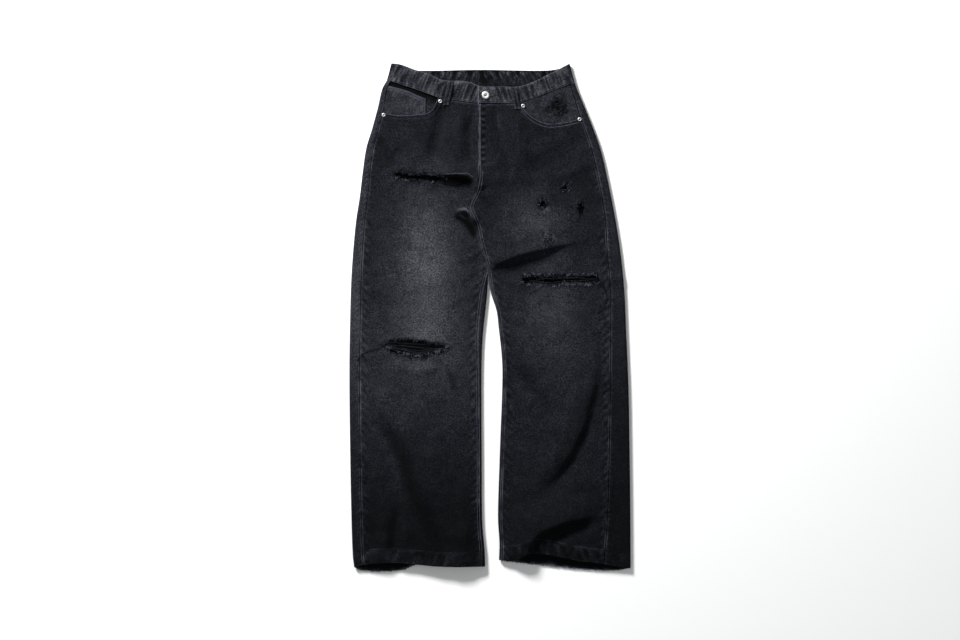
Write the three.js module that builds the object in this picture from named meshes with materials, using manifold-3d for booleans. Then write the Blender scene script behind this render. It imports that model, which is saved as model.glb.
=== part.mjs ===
// Ripped wide-leg jeans laid flat on their back, front side up. Millimetres, +Z up.
// +Y points to the waist, +X to the wearer's left. The cloth is made from two height fields over the floor plan:
// the upper face of the fronts and the underside of the backs, which meet round a soft fold at each outer edge.
import * as THREE from "three";
import Module from "manifold-3d";
import { mergeVertices } from "three/addons/utils/BufferGeometryUtils.js";

const wasm = await Module();
wasm.setup();

// ---- driving dimensions -------------------------------------------------------------------------------------
const DENIM = 1.3; // one layer of cloth
const HEM_CLOTH = 2.6; // the turned-up hem
const HEM_HEIGHT = 28;
const BAND_CLOTH = 2.5; // the waistband, folded and stitched
const SEAM_GAP = 0.5; // between two pieces that are sewn together
const BAND_GAP = 1; // between the waistband and the pieces it holds
const PLY_GAP = 0.4; // between two pieces that lie on each other
const CROTCH = { x: -3, y: 103 };
const FLY = { edge: -21.6, bottom: 314 };
const YOKE = { side: 45, centre: 78 }; // its height at the side seam and at the centre back
const SEAT_LIFT = 1.6; // the back pockets and loops hold the seat this far off the floor
const LEAST_HEIGHT = 8.6; // of the fronts over the floor, so that each leg stays an open tube
const RIGHT = -1; // the wearer's right, at -X
const LEFT = 1;

// ---- smooth curves through a few points ----------------------------------------------------------------------
const clamp = (value, low, high) => Math.min(high, Math.max(low, value));
const lerp = (a, b, t) => a + (b - a) * t;
const smoothstep = (low, high, value) => {
  const t = clamp((value - low) / (high - low), 0, 1);
  return t * t * (3 - 2 * t);
};

// A function through [at, value] pairs in rising order, level past both ends.
function through(points) {
  const slopeAt = (i) => {
    const before = points[Math.max(i - 1, 0)];
    const after = points[Math.min(i + 1, points.length - 1)];
    return (after[1] - before[1]) / (after[0] - before[0]);
  };
  return (at) => {
    const t = clamp(at, points[0][0], points.at(-1)[0]);
    const found = points.findIndex((p, i) => i > 0 && t <= p[0]);
    const [x0, y0] = points[found - 1];
    const [x1, y1] = points[found];
    const width = x1 - x0;
    const s = (t - x0) / width;
    const [s2, s3] = [s * s, s * s * s];
    return (
      (2 * s3 - 3 * s2 + 1) * y0 +
      (s3 - 2 * s2 + s) * width * slopeAt(found - 1) +
      (3 * s2 - 2 * s3) * y1 +
      (s3 - s2) * width * slopeAt(found)
    );
  };
}

// ---- the outline and the seams, each as a function of y or of x ------------------------------------------------
const OUTER = {
  [RIGHT]: through([
    [-520, -279], [-487, -283], [-400, -286], [-270, -288.5], [-110, -290], [20, -288], [100, -285],
    [195, -277], [252, -268.5], [306, -262], [352, -255], [390, -243.5], [432, -232], [474, -222], [491, -213],
    [526, -203.5],
  ]),
  [LEFT]: through([
    [-520, 290], [-400, 289.5], [-270, 288], [-150, 286], [-15, 280.5], [60, 277], [138, 269], [214, 257],
    [306, 238.5], [352, 227], [390, 213.5], [432, 196.5], [478, 177.5], [491, 173.5], [526, 164],
  ]),
};
const INNER = {
  [RIGHT]: through([
    [-515, -10], [-480, -11], [-418, -16], [-300, -17], [-114, -17.5], [-38, -15], [20, -9], [57, -5.5],
    [CROTCH.y, CROTCH.x - SEAM_GAP],
  ]),
  [LEFT]: through([
    [-500, 18.5], [-464, 19.5], [-410, 16.5], [-300, 19.5], [-229, 22], [-152, 25], [-88, 25], [-15, 17.5],
    [16, 13.5], [57, 1], [CROTCH.y, CROTCH.x + SEAM_GAP],
  ]),
};
const SIDE_SEAM_INSET = {
  [RIGHT]: through([[-520, 20], [0, 21], [195, 18], [306, 15], [420, 13], [491, 8.5]]),
  [LEFT]: through([[-520, 56], [-400, 47], [-150, 38], [40, 29], [138, 27], [214, 20], [410, 17], [491, 9.5]]),
};
const INSEAM_INSET = {
  [RIGHT]: through([[-520, 9], [-150, 8], [0, 14], [50, 13], [CROTCH.y, 6.5]]),
  [LEFT]: through([[-520, 7.5], [-20, 6.5], [40, 7], [CROTCH.y, 6.5]]),
};
const OUTER_FOLD = {
  // radius of the fold at the outer edge
  [RIGHT]: through([[-520, 5], [-400, 4.5], [103, 4.7], [300, 5.5], [440, 7], [526, 7]]),
  [LEFT]: through([[-520, 5], [-400, 4.6], [103, 4.7], [300, 5.5], [440, 7], [526, 7]]),
};
const INNER_FOLD = {
  [RIGHT]: through([[-515, 7], [-420, 5.5], [-300, 4.6], [CROTCH.y, 4.7]]),
  [LEFT]: through([[-500, 5.6], [-420, 5], [-300, 4.6], [CROTCH.y, 4.7]]),
};
const FRONT_RISE = through([
  [CROTCH.y, CROTCH.x], [122, -9.5], [155, -18.5], [192, -26.5], [208, -33], [226, -41], [240, -38], [262, -27],
  [290, FLY.edge], [FLY.bottom, FLY.edge], [360, FLY.edge], [445, FLY.edge],
]);
const BACK_RISE = through([[CROTCH.y, CROTCH.x], [200, -14], [300, -19], [480, -20], [526, -20]]);

const BAND_FRONT_TOP = through([
  [-203.5, 525.7], [-184, 523], [-154, 512], [-131, 505], [-97, 490.5], [-55, 488.5], [-36, 484], [-22, 478],
  [40, 477], [61, 478], [82, 484], [132, 508.5], [164, 525],
]);
const BAND_FRONT_FOOT = through([
  [-213, 491], [-196, 486], [-146, 469], [-101, 453], [-78, 450], [-25, 443.5], [51, 443], [64, 444],
  [120, 465], [158, 480], [174, 487],
]);
const BAND_BACK_TOP = through([
  [-203.5, 525.7], [-185, 517.5], [-154, 511.5], [-20, 513], [115, 511.5], [146, 516], [164, 525],
]);
const BAND_BACK_FOOT = through([
  [-213, 491], [-185, 482], [-120, 478], [-20, 477], [80, 478], [146, 482], [174, 487],
]);
const HEM_FRONT = {
  [RIGHT]: through([[-281, -513], [-260, -507], [-222, -503.5], [-184, -503.5], [-110, -510], [-10, -511]]),
  [LEFT]: through([
    [18, -498], [55, -496], [68, -490], [78, -484], [120, -487], [178, -498], [235, -506], [290, -515],
  ]),
};
const HEM_BACK = {
  [RIGHT]: through([[-281, -513], [-268, -518], [-222, -521], [-175, -517], [-154, -508], [-60, -506], [-10, -511]]),
  [LEFT]: through([[18, -498], [33, -500], [120, -509.5], [196, -517], [255, -519], [290, -515]]),
};
const MOUTH = {
  // the curved edge of each front pocket, from the side seam to the waistband
  [RIGHT]: [[-217, 421], [-184, 417], [-154, 418.5], [-131, 421], [-117, 431], [-107, 452]],
  [LEFT]: [[184, 409.5], [151, 402], [120, 400], [97, 407.5], [77, 421], [64, 440]],
};

// ---- folds of the upper side ------------------------------------------------------------------------------------
// Each runs along a line. left and right are its widths on either side of that direction.
const FOLDS = [
  { name: "thigh roll", line: [[190, 160], [124, 146], [62, 131], [4, 118]], high: 15, left: 16, right: 46 },
  { name: "below the thigh roll", line: [[180, 132], [85, 108], [12, 80]], high: -4, left: 18, right: 18 },
  { name: "over the thigh rip", line: [[-38, 288], [-90, 295], [-200, 312]], high: 8, left: 11, right: 36 },
  { name: "crotch pucker", line: [[-30, 185], [-38, 208], [-52, 220], [-66, 212]], high: 5, left: 9, right: 9 },
  { name: "beside the crotch", line: [[-56, 192], [-28, 160]], high: -4, left: 15, right: 15 },
  { name: "hip hollow", line: [[-240, 385], [-196, 327]], high: -4, left: 24, right: 24 },
  { name: "below the fly", line: [[0, 268], [95, 270]], high: -4, left: 18, right: 18 },
  {
    name: "left shin",
    line: [[222, -75], [206, -155], [190, -215], [166, -264], [134, -308], [96, -344]],
    high: 8, left: 24, right: 46,
  },
  { name: "left knee hollow", line: [[30, -58], [66, -102], [104, -156]], high: -4, left: 20, right: 20 },
  {
    name: "right shin",
    line: [[-122, -436], [-134, -380], [-146, -330], [-180, -250], [-232, -176]],
    high: 7, left: 24, right: 48,
  },
  { name: "right hem crease", line: [[-194, -385], [-194, -500]], high: -5, left: 12, right: 12 },
  {
    name: "left hem roll",
    line: [[222, -404], [154, -418], [104, -436], [80, -460], [68, -510]],
    high: 13, left: 14, right: 50,
  },
  { name: "right hem mouth", line: [[-225, -520], [-225, -440]], high: 4, left: 34, right: 34 },
  { name: "right hem rise", line: [[-72, -525], [-72, -410]], high: 9, left: 50, right: 50 },
];

// How far along a fold's line a point lies, as a share, and how far off it, with the left side positive.
function offLine(line, x, y) {
  const lengths = line.slice(1).map((p, i) => Math.hypot(p[0] - line[i][0], p[1] - line[i][1]));
  const whole = lengths.reduce((a, b) => a + b, 0);
  let best = { off: Infinity, along: 0 };
  let passed = 0;
  lengths.forEach((length, i) => {
    const [ax, ay] = line[i];
    const [ux, uy] = [(line[i + 1][0] - ax) / length, (line[i + 1][1] - ay) / length];
    const raw = (x - ax) * ux + (y - ay) * uy;
    const t = clamp(raw, 0, length);
    const [dx, dy] = [x - ax - ux * t, y - ay - uy * t];
    const off = Math.hypot(dx, dy) * Math.sign(ux * dy - uy * dx || 1);
    if (Math.abs(off) < Math.abs(best.off)) best = { off, along: (passed + t) / whole };
    passed += length;
  });
  return best;
}

function foldHeight(x, y) {
  return FOLDS.reduce((sum, fold) => {
    const { off, along } = offLine(fold.line, x, y);
    const width = off > 0 ? fold.left : fold.right;
    const ends = 0.35 + 0.65 * Math.sin(Math.PI * clamp(along, 0, 1));
    return sum + fold.high * ends * Math.exp(-((off / width) ** 2));
  }, 0);
}

// ---- the two height fields -----------------------------------------------------------------------------------------
// How round the edge is at a distance in from it: 0 at the edge and 1 from one radius inwards.
const roundness = (distance, radius) => {
  const t = clamp(1 - distance / radius, 0, 1);
  return Math.sqrt(1 - t * t);
};

// The nearest outer or inner edge, its fold's radius, and the share of the way across.
function edgeAt(leg, x, y) {
  const fromOuter = leg === RIGHT ? x - OUTER[RIGHT](y) : OUTER[LEFT](y) - x;
  if (y >= CROTCH.y) {
    const across = clamp((x - OUTER[RIGHT](y)) / (OUTER[LEFT](y) - OUTER[RIGHT](y)), 0, 1);
    return { distance: Math.max(fromOuter, 0), radius: OUTER_FOLD[leg](y), across, level: OUTER_FOLD[leg](y) };
  }
  const fromInner = leg === RIGHT ? INNER[RIGHT](y) - x : x - INNER[LEFT](y);
  const across = clamp(fromOuter / (fromOuter + fromInner), 0, 1);
  const level = lerp(OUTER_FOLD[leg](y), INNER_FOLD[leg](y), smoothstep(0.1, 0.9, across));
  return fromOuter < fromInner
    ? { distance: Math.max(fromOuter, 0), radius: OUTER_FOLD[leg](y), across, level }
    : { distance: Math.max(fromInner, 0), radius: INNER_FOLD[leg](y), across, level };
}

// Upper face of the cloth.
function upper(leg, x, y) {
  const { distance, radius, across, level } = edgeAt(leg, x, y);
  const inside = smoothstep(radius, radius + 36, distance);
  const rise = 2 * level + 3.5 * Math.sin(Math.PI * across) + foldHeight(x, y) * inside;
  const height = rise > LEAST_HEIGHT + 3 ? rise : LEAST_HEIGHT + 3 * Math.exp((rise - LEAST_HEIGHT - 3) / 3);
  return radius + (height - radius) * roundness(distance, radius);
}

// Underside of the cloth: on the floor, and just off it over the back pockets.
function under(leg, x, y) {
  const { distance, radius } = edgeAt(leg, x, y);
  const lift = SEAT_LIFT * smoothstep(195, 212, y) * smoothstep(radius, radius + 16, distance);
  return lift + radius * (1 - roundness(distance, radius));
}

// ---- solids from grids of points ---------------------------------------------------------------------------------
// A wall from a grid of points on its outer face, thick into the cloth, as one closed mesh.
function wall(grid, thickness) {
  const rows = grid.length;
  const columns = grid[0].length;
  const at = (i, j) => grid[clamp(i, 0, rows - 1)][clamp(j, 0, columns - 1)];
  const positions = [];
  grid.forEach((row) => row.forEach((p) => positions.push(...p)));
  for (let i = 0; i < rows; i++)
    for (let j = 0; j < columns; j++) {
      const along = new THREE.Vector3(...at(i + 1, j)).sub(new THREE.Vector3(...at(i - 1, j)));
      const across = new THREE.Vector3(...at(i, j + 1)).sub(new THREE.Vector3(...at(i, j - 1)));
      const outward = across.cross(along).normalize();
      const depth = typeof thickness === "function" ? thickness(i, j) : thickness;
      const p = grid[i][j];
      positions.push(p[0] - outward.x * depth, p[1] - outward.y * depth, p[2] - outward.z * depth);
    }
  const skin = rows * columns;
  const outer = (i, j) => i * columns + j;
  const inner = (i, j) => skin + outer(i, j);
  const index = [];
  const quad = (a, b, c, d) => index.push(a, b, c, a, c, d);
  for (let i = 0; i < rows - 1; i++)
    for (let j = 0; j < columns - 1; j++) {
      quad(outer(i, j), outer(i, j + 1), outer(i + 1, j + 1), outer(i + 1, j));
      quad(inner(i, j), inner(i + 1, j), inner(i + 1, j + 1), inner(i, j + 1));
    }
  for (let j = 0; j < columns - 1; j++) {
    quad(outer(0, j), inner(0, j), inner(0, j + 1), outer(0, j + 1));
    quad(outer(rows - 1, j + 1), inner(rows - 1, j + 1), inner(rows - 1, j), outer(rows - 1, j));
  }
  for (let i = 0; i < rows - 1; i++) {
    quad(outer(i + 1, 0), inner(i + 1, 0), inner(i, 0), outer(i, 0));
    quad(outer(i, columns - 1), inner(i, columns - 1), inner(i + 1, columns - 1), outer(i + 1, columns - 1));
  }
  const geometry = new THREE.BufferGeometry();
  geometry.setAttribute("position", new THREE.Float32BufferAttribute(positions, 3));
  geometry.setIndex(index);
  return geometry;
}

// manifold-3d solid of a closed geometry, and back.
function solidOf(geometry) {
  const bare = geometry.clone();
  bare.deleteAttribute("normal");
  bare.deleteAttribute("uv");
  const merged = mergeVertices(bare, 1e-4);
  return new wasm.Manifold(
    new wasm.Mesh({
      numProp: 3,
      vertProperties: merged.attributes.position.array,
      triVerts: new Uint32Array(merged.index.array),
    }),
  );
}

function geometryOf(solid) {
  const mesh = solid.getMesh();
  const geometry = new THREE.BufferGeometry();
  geometry.setAttribute("position", new THREE.Float32BufferAttribute(mesh.vertProperties, 3));
  geometry.setIndex(new THREE.Uint32BufferAttribute(mesh.triVerts, 1));
  return geometry;
}

// An upright prism over a closed outline, to cut through the cloth.
function prism(outline, low = -20, high = 80) {
  const shape = new THREE.Shape(outline.map(([x, y]) => new THREE.Vector2(x, y)));
  const cutter = new THREE.ExtrudeGeometry(shape, { depth: high - low, bevelEnabled: false });
  return cutter.translate(0, 0, low);
}

function cut(geometry, cutters) {
  const left = cutters.reduce((solid, cutter) => solid.subtract(solidOf(cutter)), solidOf(geometry));
  return geometryOf(left);
}

// ---- materials ----------------------------------------------------------------------------------------------------
const cloth = (colour) => new THREE.MeshStandardMaterial({ color: colour, roughness: 0.95, metalness: 0 });
const DENIM_BLACK = 0x1d2024;
const DENIM_FADED = 0x2a2c2f;
const nickel = () => new THREE.MeshStandardMaterial({ color: 0xc9c8c2, roughness: 0.32, metalness: 1 });

const jeans = new THREE.Group();
function add(name, geometry, material) {
  const mesh = new THREE.Mesh(geometry, material);
  mesh.name = name;
  jeans.add(mesh);
}

// ---- where a row of a panel lies ------------------------------------------------------------------------------------
// Solves for x and y together: xOf gives x at a height, yOf gives the row's height at an x.
function settle(xOf, yOf) {
  let x = xOf(yOf(0));
  for (let k = 0; k < 6; k++) x = xOf(yOf(x));
  return [x, yOf(x)];
}

const sideSeam = (leg) => (y) => OUTER[leg](y) - leg * SIDE_SEAM_INSET[leg](y);
const inseam = (leg) => (y) => INNER[leg](y) + leg * INSEAM_INSET[leg](y);
const shares = (count, from = 0, to = 1) =>
  Array.from({ length: count + 1 }, (_, i) => lerp(from, to, i / count));

// Rows as shares of the way from the hem to the crotch, then from the crotch to the top.
const LEG_ROWS = [0, HEM_HEIGHT / 615, (HEM_HEIGHT + 4) / 615, ...shares(15, 0.09, 0.94), 0.975];
const SEAT_ROWS = [0, 0.04, 0.09, ...shares(10, 0.16, 1)];
const rowHeight = (rows, hem, top) => (x) =>
  rows.below ? lerp(hem(x), CROTCH.y, rows.share) : lerp(CROTCH.y, top(x), rows.share);
const ROWS = [
  ...LEG_ROWS.map((share) => ({ below: true, share })),
  ...SEAT_ROWS.map((share) => ({ below: false, share })),
];
const onLeg = (row) => row.below || row.share === 0; // up to the crotch row itself
const hemThickness = (i) => (i < 2 ? HEM_CLOTH : DENIM);

// ---- front panels -------------------------------------------------------------------------------------------------
const FRONT_COLUMNS = shares(11);

function frontPanel(leg) {
  const outerEdge = (y) => sideSeam(leg)(y) - leg * SEAM_GAP;
  const rise = (y) => FRONT_RISE(y) + leg * (SEAM_GAP / 2);
  const flyPly = (x, y) =>
    leg === LEFT ? DENIM * smoothstep(24, 14, x) * smoothstep(FLY.bottom - 14, FLY.bottom, y) : 0;
  const grid = ROWS.map((row) => {
    const heightOf = rowHeight(row, HEM_FRONT[leg], (x) => BAND_FRONT_FOOT(x) - BAND_GAP);
    const innerEdge = onLeg(row) ? inseam(leg) : rise;
    return FRONT_COLUMNS.map((share) => {
      const [x, y] = settle((at) => lerp(outerEdge(at), innerEdge(at), share), heightOf);
      return [x, y, upper(leg, x, y) + flyPly(x, y)];
    });
  });
  if (leg === LEFT) grid.forEach((row) => row.reverse());
  return wall(grid, hemThickness);
}

// What is cut out of each front: the pocket mouth and the rips.
function mouthCutter(leg) {
  const past = [[leg * 300, MOUTH[leg][0][1]], ...MOUTH[leg], [MOUTH[leg].at(-1)[0], 560], [leg * 300, 560]];
  return prism(past);
}

// A rip's outline: pointed at both ends, with a slightly wavy upper and lower edge.
function ripOutline({ from, to, above, below, waves = 3 }) {
  const steps = 8;
  const edge = (side, height) =>
    shares(steps)
      .slice(1, -1)
      .map((t) => {
        const belly = Math.sin(Math.PI * t) ** 0.6 * (1 + 0.18 * Math.sin(waves * 2 * Math.PI * t + side));
        return [lerp(from[0], to[0], t), lerp(from[1], to[1], t) + side * height * belly];
      });
  return [from, ...edge(-1, below), to, ...edge(1, above).reverse()];
}

const RIPS = {
  [RIGHT]: [
    { name: "thigh", from: [-199, 297], to: [-89, 288], above: 8, below: 11 },
    { name: "knee", from: [-226, -54], to: [-80, -66], above: 15, below: 19 },
  ],
  [LEFT]: [{ name: "long", from: [64, 83], to: [228, 82], above: 11, below: 12 }],
};
// The small worn-through holes of the left thigh: centre and half sizes.
const HOLES = [
  { centre: [157, 269], half: [7, 5] },
  { centre: [104, 238], half: [7, 8] },
  { centre: [189, 223], half: [5.5, 11] },
  { centre: [114, 160], half: [5, 6] },
];
const holeOutline = ({ centre, half }) =>
  shares(8)
    .slice(1)
    .map((t) => [
      centre[0] + half[0] * Math.cos(2 * Math.PI * t) * (1 + 0.2 * Math.sin(6 * Math.PI * t)),
      centre[1] + half[1] * Math.sin(2 * Math.PI * t),
    ]);

function makeFronts() {
  const cutters = (leg) => [
    mouthCutter(leg),
    ...RIPS[leg].map((rip) => prism(ripOutline(rip))),
    ...(leg === LEFT ? HOLES.map((hole) => prism(holeOutline(hole))) : []),
  ];
  add("front_right", cut(frontPanel(RIGHT), cutters(RIGHT)), cloth(DENIM_BLACK));
  add("front_left", cut(frontPanel(LEFT), cutters(LEFT)), cloth(DENIM_BLACK));
}

// ---- back panels and yokes ------------------------------------------------------------------------------------------
// The stations of a back piece, from the side seam over the outer fold, along the floor and, on the leg, up the
// inner fold to the inseam. Each says which face it lies on and gives its x at a height.
const BEND = 1 - Math.SQRT1_2; // where a fold's arc has turned half of its quarter

function backStations(leg, below, atCrotch = 1) {
  const outer = (distance) => (y) => OUTER[leg](y) - leg * distance(y);
  const fold = OUTER_FOLD[leg];
  const inset = (y) => SIDE_SEAM_INSET[leg](y) - SEAM_GAP;
  const floorStart = outer((y) => fold(y) + 18);
  const stations = [
    { face: "upper", x: outer(inset) },
    { face: "upper", x: outer((y) => lerp(Math.min(fold(y), inset(y) - 1), inset(y), 0.5)) },
    { face: "upper", x: outer((y) => Math.min(fold(y), inset(y) - 1)) },
    { face: "upper", x: outer((y) => fold(y) * BEND) },
    { face: "edge", x: outer(() => 0) },
    { face: "under", x: outer((y) => fold(y) * BEND) },
    { face: "under", x: outer(fold) },
    { face: "under", x: floorStart },
  ];
  const inner = (distance) => (y) => INNER[leg](y) + leg * distance(y);
  const tight = INNER_FOLD[leg];
  const floorEnd = below
    ? inner((y) => tight(y) + 20)
    : (y) => BACK_RISE(y) + leg * lerp(26, 50, atCrotch);
  const between = (share) => (y) => lerp(floorStart(y), floorEnd(y), share);
  stations.push({ face: "under", x: between(0.4) }, { face: "under", x: between(0.75) });
  if (below) {
    const end = (y) => INSEAM_INSET[leg](y) - SEAM_GAP;
    stations.push(
      { face: "under", x: floorEnd },
      { face: "under", x: inner(tight) },
      { face: "under", x: inner((y) => tight(y) * BEND) },
      { face: "edge", x: inner(() => 0) },
      { face: "upper", x: inner((y) => Math.min(tight(y) * BEND, end(y) * 0.5)) },
      { face: "upper", x: inner(end) },
    );
  } else {
    const spread = lerp(5, 9, atCrotch);
    [5, 4, 3, 2, 1, 0].forEach((k) =>
      stations.push({ face: "under", x: (y) => BACK_RISE(y) + leg * (k * spread + SEAM_GAP / 2) }),
    );
  }
  return stations;
}

function backPoint(leg, station, heightOf) {
  const [x, y] = settle(station.x, heightOf(station.face));
  if (station.face === "edge") {
    const { radius } = edgeAt(leg, x, y);
    return [x, y, radius];
  }
  return [x, y, station.face === "upper" ? upper(leg, x, y) : under(leg, x, y)];
}

// Height of the yoke's lower seam over either face.
function yokeSeam(leg, face) {
  if (face !== "under") return (x) => BAND_FRONT_FOOT(x) - YOKE.side;
  const side = leg * (leg === RIGHT ? 213 : 174);
  return (x) => {
    const share = smoothstep(0, 1, clamp((x - side) / (BACK_RISE(400) - side), 0, 1));
    return BAND_BACK_FOOT(x) - lerp(YOKE.side, YOKE.centre, share);
  };
}

function backPanel(leg) {
  const grid = ROWS.map((row) => {
    const stations = backStations(leg, onLeg(row), smoothstep(0, 0.3, row.share));
    const heightOf = (face) =>
      rowHeight(row, face === "under" ? HEM_BACK[leg] : HEM_FRONT[leg], (x) => yokeSeam(leg, face)(x) - SEAM_GAP);
    return stations.map((station) => backPoint(leg, station, heightOf));
  });
  if (leg === RIGHT) grid.forEach((row) => row.reverse());
  return wall(grid, hemThickness);
}

function yoke(leg) {
  const stations = backStations(leg, false);
  const grid = shares(2).map((share) => {
    const heightOf = (face) => (x) => {
      const foot = face === "under" ? BAND_BACK_FOOT : BAND_FRONT_FOOT;
      return lerp(yokeSeam(leg, face)(x), foot(x) - BAND_GAP, share);
    };
    return stations.map((station) => backPoint(leg, station, heightOf));
  });
  if (leg === RIGHT) grid.forEach((row) => row.reverse());
  return wall(grid, DENIM);
}

function makeBacks() {
  add("back_right", backPanel(RIGHT), cloth(DENIM_BLACK));
  add("back_left", backPanel(LEFT), cloth(DENIM_BLACK));
  add("yoke_right", yoke(RIGHT), cloth(DENIM_BLACK));
  add("yoke_left", yoke(LEFT), cloth(DENIM_BLACK));
}

// ---- waistband ------------------------------------------------------------------------------------------------------
const OVERLAP = { end: -24.3, under: 8 }; // where the upper end stops, and how far the lower end runs under it
const bandLift = (x) => (BAND_CLOTH + PLY_GAP) * smoothstep(40, 12, x); // of the left half, over the right one

function waistband(leg) {
  const end = leg === RIGHT ? OVERLAP.under : OVERLAP.end;
  const outer = (distance) => (y) => OUTER[leg](y) - leg * distance;
  const radius = OUTER_FOLD[leg](500);
  const front = shares(leg === RIGHT ? 8 : 9).slice(0, -1);
  const foldStart = outer(radius + 10);
  const stations = [
    ...front.map((share) => ({ face: "upper", x: (y) => lerp(end, foldStart(y), share) })),
    { face: "upper", x: foldStart },
    { face: "upper", x: outer(radius) },
    { face: "upper", x: outer(radius * BEND) },
    { face: "edge", x: outer(0) },
    { face: "under", x: outer(radius * BEND) },
    { face: "under", x: outer(radius) },
    { face: "under", x: outer(radius + 18) },
    { face: "under", x: (y) => lerp(outer(radius + 18)(y), BACK_RISE(y), 0.33) },
    { face: "under", x: (y) => lerp(outer(radius + 18)(y), BACK_RISE(y), 0.66) },
    { face: "under", x: (y) => BACK_RISE(y) + leg * (SEAM_GAP / 2) },
  ];
  const grid = shares(2).map((share) =>
    stations.map((station) => {
      const heightOf = (face) => (x) =>
        face === "under"
          ? lerp(BAND_BACK_FOOT(x), BAND_BACK_TOP(x), share)
          : lerp(BAND_FRONT_FOOT(x), BAND_FRONT_TOP(x), share);
      const [x, y, z] = backPoint(leg, station, heightOf);
      const raised = station.face === "upper" && leg === LEFT ? bandLift(x) : 0;
      return [x, y, z + raised];
    }),
  );
  if (leg === RIGHT) grid.forEach((row) => row.reverse());
  return wall(grid, BAND_CLOTH);
}

const BUTTON = { x: -9, y: 459, radius: 8.7, shank: 2.2 };

function makeWaistband() {
  const slot = [
    [BUTTON.x - 11, BUTTON.y - 3], [BUTTON.x + 5, BUTTON.y - 3], [BUTTON.x + 5, BUTTON.y + 3],
    [BUTTON.x - 11, BUTTON.y + 3],
  ];
  add("waistband_right", waistband(RIGHT), cloth(DENIM_BLACK));
  const lowest = upper(LEFT, BUTTON.x, BUTTON.y) - 1;
  add("waistband_left", cut(waistband(LEFT), [prism(slot, lowest)]), cloth(DENIM_BLACK));
}

// ---- pieces that follow the upper face ----------------------------------------------------------------------------------
// A patch between two sides, each x at a height, and a foot and a top, each y at an x, sunk under the upper face.
function patch({ leg, sides, foot, top, sunk, thickness, columns, rows }) {
  const [low, high] = [Math.min, Math.max].map((pick) => (y) => pick(sides[0](y), sides[1](y)));
  const grid = shares(rows).map((v) =>
    shares(columns).map((u) => {
      const [x, y] = settle((at) => lerp(low(at), high(at), u), (at) => lerp(foot(at), top(at), v));
      return [x, y, upper(leg, x, y) - (typeof sunk === "function" ? sunk(x, y) : sunk)];
    }),
  );
  return wall(grid, thickness);
}

const UNDER_FRONT = DENIM + PLY_GAP; // the first ply below the fronts
const UNDER_COIN = UNDER_FRONT + DENIM + PLY_GAP;
const FACING_FOOT = {
  [RIGHT]: through([[-225, 397], [-184, 394], [-150, 396], [-118, 404], [-100, 415], [-86, 430]]),
  [LEFT]: through([[42, 425], [58, 406], [80, 392], [120, 378], [150, 380], [200, 388]]),
};

function makePockets() {
  const bandFoot = (x) => BAND_FRONT_FOOT(x) - BAND_GAP;
  add(
    "pocket_facing_right",
    patch({
      leg: RIGHT, sides: [(y) => sideSeam(RIGHT)(y) + SEAM_GAP, () => -86], foot: FACING_FOOT[RIGHT],
      top: bandFoot, sunk: UNDER_COIN, thickness: DENIM, columns: 6, rows: 4,
    }),
    cloth(DENIM_FADED),
  );
  add(
    "pocket_facing_left",
    patch({
      leg: LEFT, sides: [() => 42, (y) => sideSeam(LEFT)(y) - SEAM_GAP], foot: FACING_FOOT[LEFT],
      top: bandFoot, sunk: UNDER_FRONT, thickness: DENIM, columns: 6, rows: 4,
    }),
    cloth(DENIM_FADED),
  );
  add(
    "coin_pocket",
    patch({
      leg: RIGHT, sides: [(y) => sideSeam(RIGHT)(y) + SEAM_GAP, () => -132],
      foot: (x) => FACING_FOOT[RIGHT](x) + 8, top: through([[-212, 478], [-172, 467], [-134, 451]]),
      sunk: UNDER_FRONT, thickness: DENIM, columns: 4, rows: 3,
    }),
    cloth(DENIM_FADED),
  );
}

const SHIELD = { low: -36, high: 22, foot: 302, top: 441 };

function makeFly() {
  const rect = (low, high, foot, top, sunk, thickness, columns, rows) => ({
    leg: RIGHT, sides: [() => low, () => high], foot: () => foot, top: () => top, sunk, thickness, columns, rows,
  });
  add("zip", patch(rect(-16, -4, 322, 438, UNDER_FRONT, 1.5, 1, 5)), cloth(0x17181a));
  const below = UNDER_FRONT + 1.5 + PLY_GAP;
  add(
    "fly_shield",
    patch(rect(SHIELD.low, SHIELD.high, SHIELD.foot, SHIELD.top, below, DENIM, 2, 5)),
    cloth(DENIM_BLACK),
  );
}

// ---- belt loops and back pockets --------------------------------------------------------------------------------------
const LOOP = { width: 12, thickness: 1.8 };

function frontLoop(leg, head, foot) {
  const line = (y) => lerp(foot[0], head[0], (y - foot[1]) / (head[1] - foot[1]));
  return patch({
    leg,
    sides: [(y) => line(y) - LOOP.width / 2, (y) => line(y) + LOOP.width / 2],
    foot: () => foot[1],
    top: () => head[1],
    sunk: -(LOOP.thickness + PLY_GAP),
    thickness: LOOP.thickness,
    columns: 1,
    rows: 5,
  });
}

// A flat piece on the floor under the seat.
function floorPiece(outline, thickness) {
  const shape = new THREE.Shape(outline.map(([x, y]) => new THREE.Vector2(x, y)));
  return new THREE.ExtrudeGeometry(shape, { depth: thickness, bevelEnabled: false });
}

function makeLoops() {
  add("belt_loop_front_right", frontLoop(RIGHT, [-80, 489], [-91, 439]), cloth(DENIM_BLACK));
  add("belt_loop_front_left", frontLoop(LEFT, [48, 476], [57, 431]), cloth(DENIM_BLACK));
  const backLoops = { belt_loop_back_right: -140, belt_loop_back_centre: -20, belt_loop_back_left: 102 };
  for (const [name, x] of Object.entries(backLoops)) {
    const half = LOOP.width / 2;
    const [foot, top] = [BAND_BACK_FOOT(x) - 8, BAND_BACK_TOP(x) - 1];
    const outline = [[x - half, foot], [x + half, foot], [x + half, top], [x - half, top]];
    add(name, floorPiece(outline, SEAT_LIFT - PLY_GAP), cloth(DENIM_BLACK));
  }
}

const BACK_POCKET = { width: 142, inset: 44, top: 384, outerTop: 392, side: 245, point: 222 };

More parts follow.
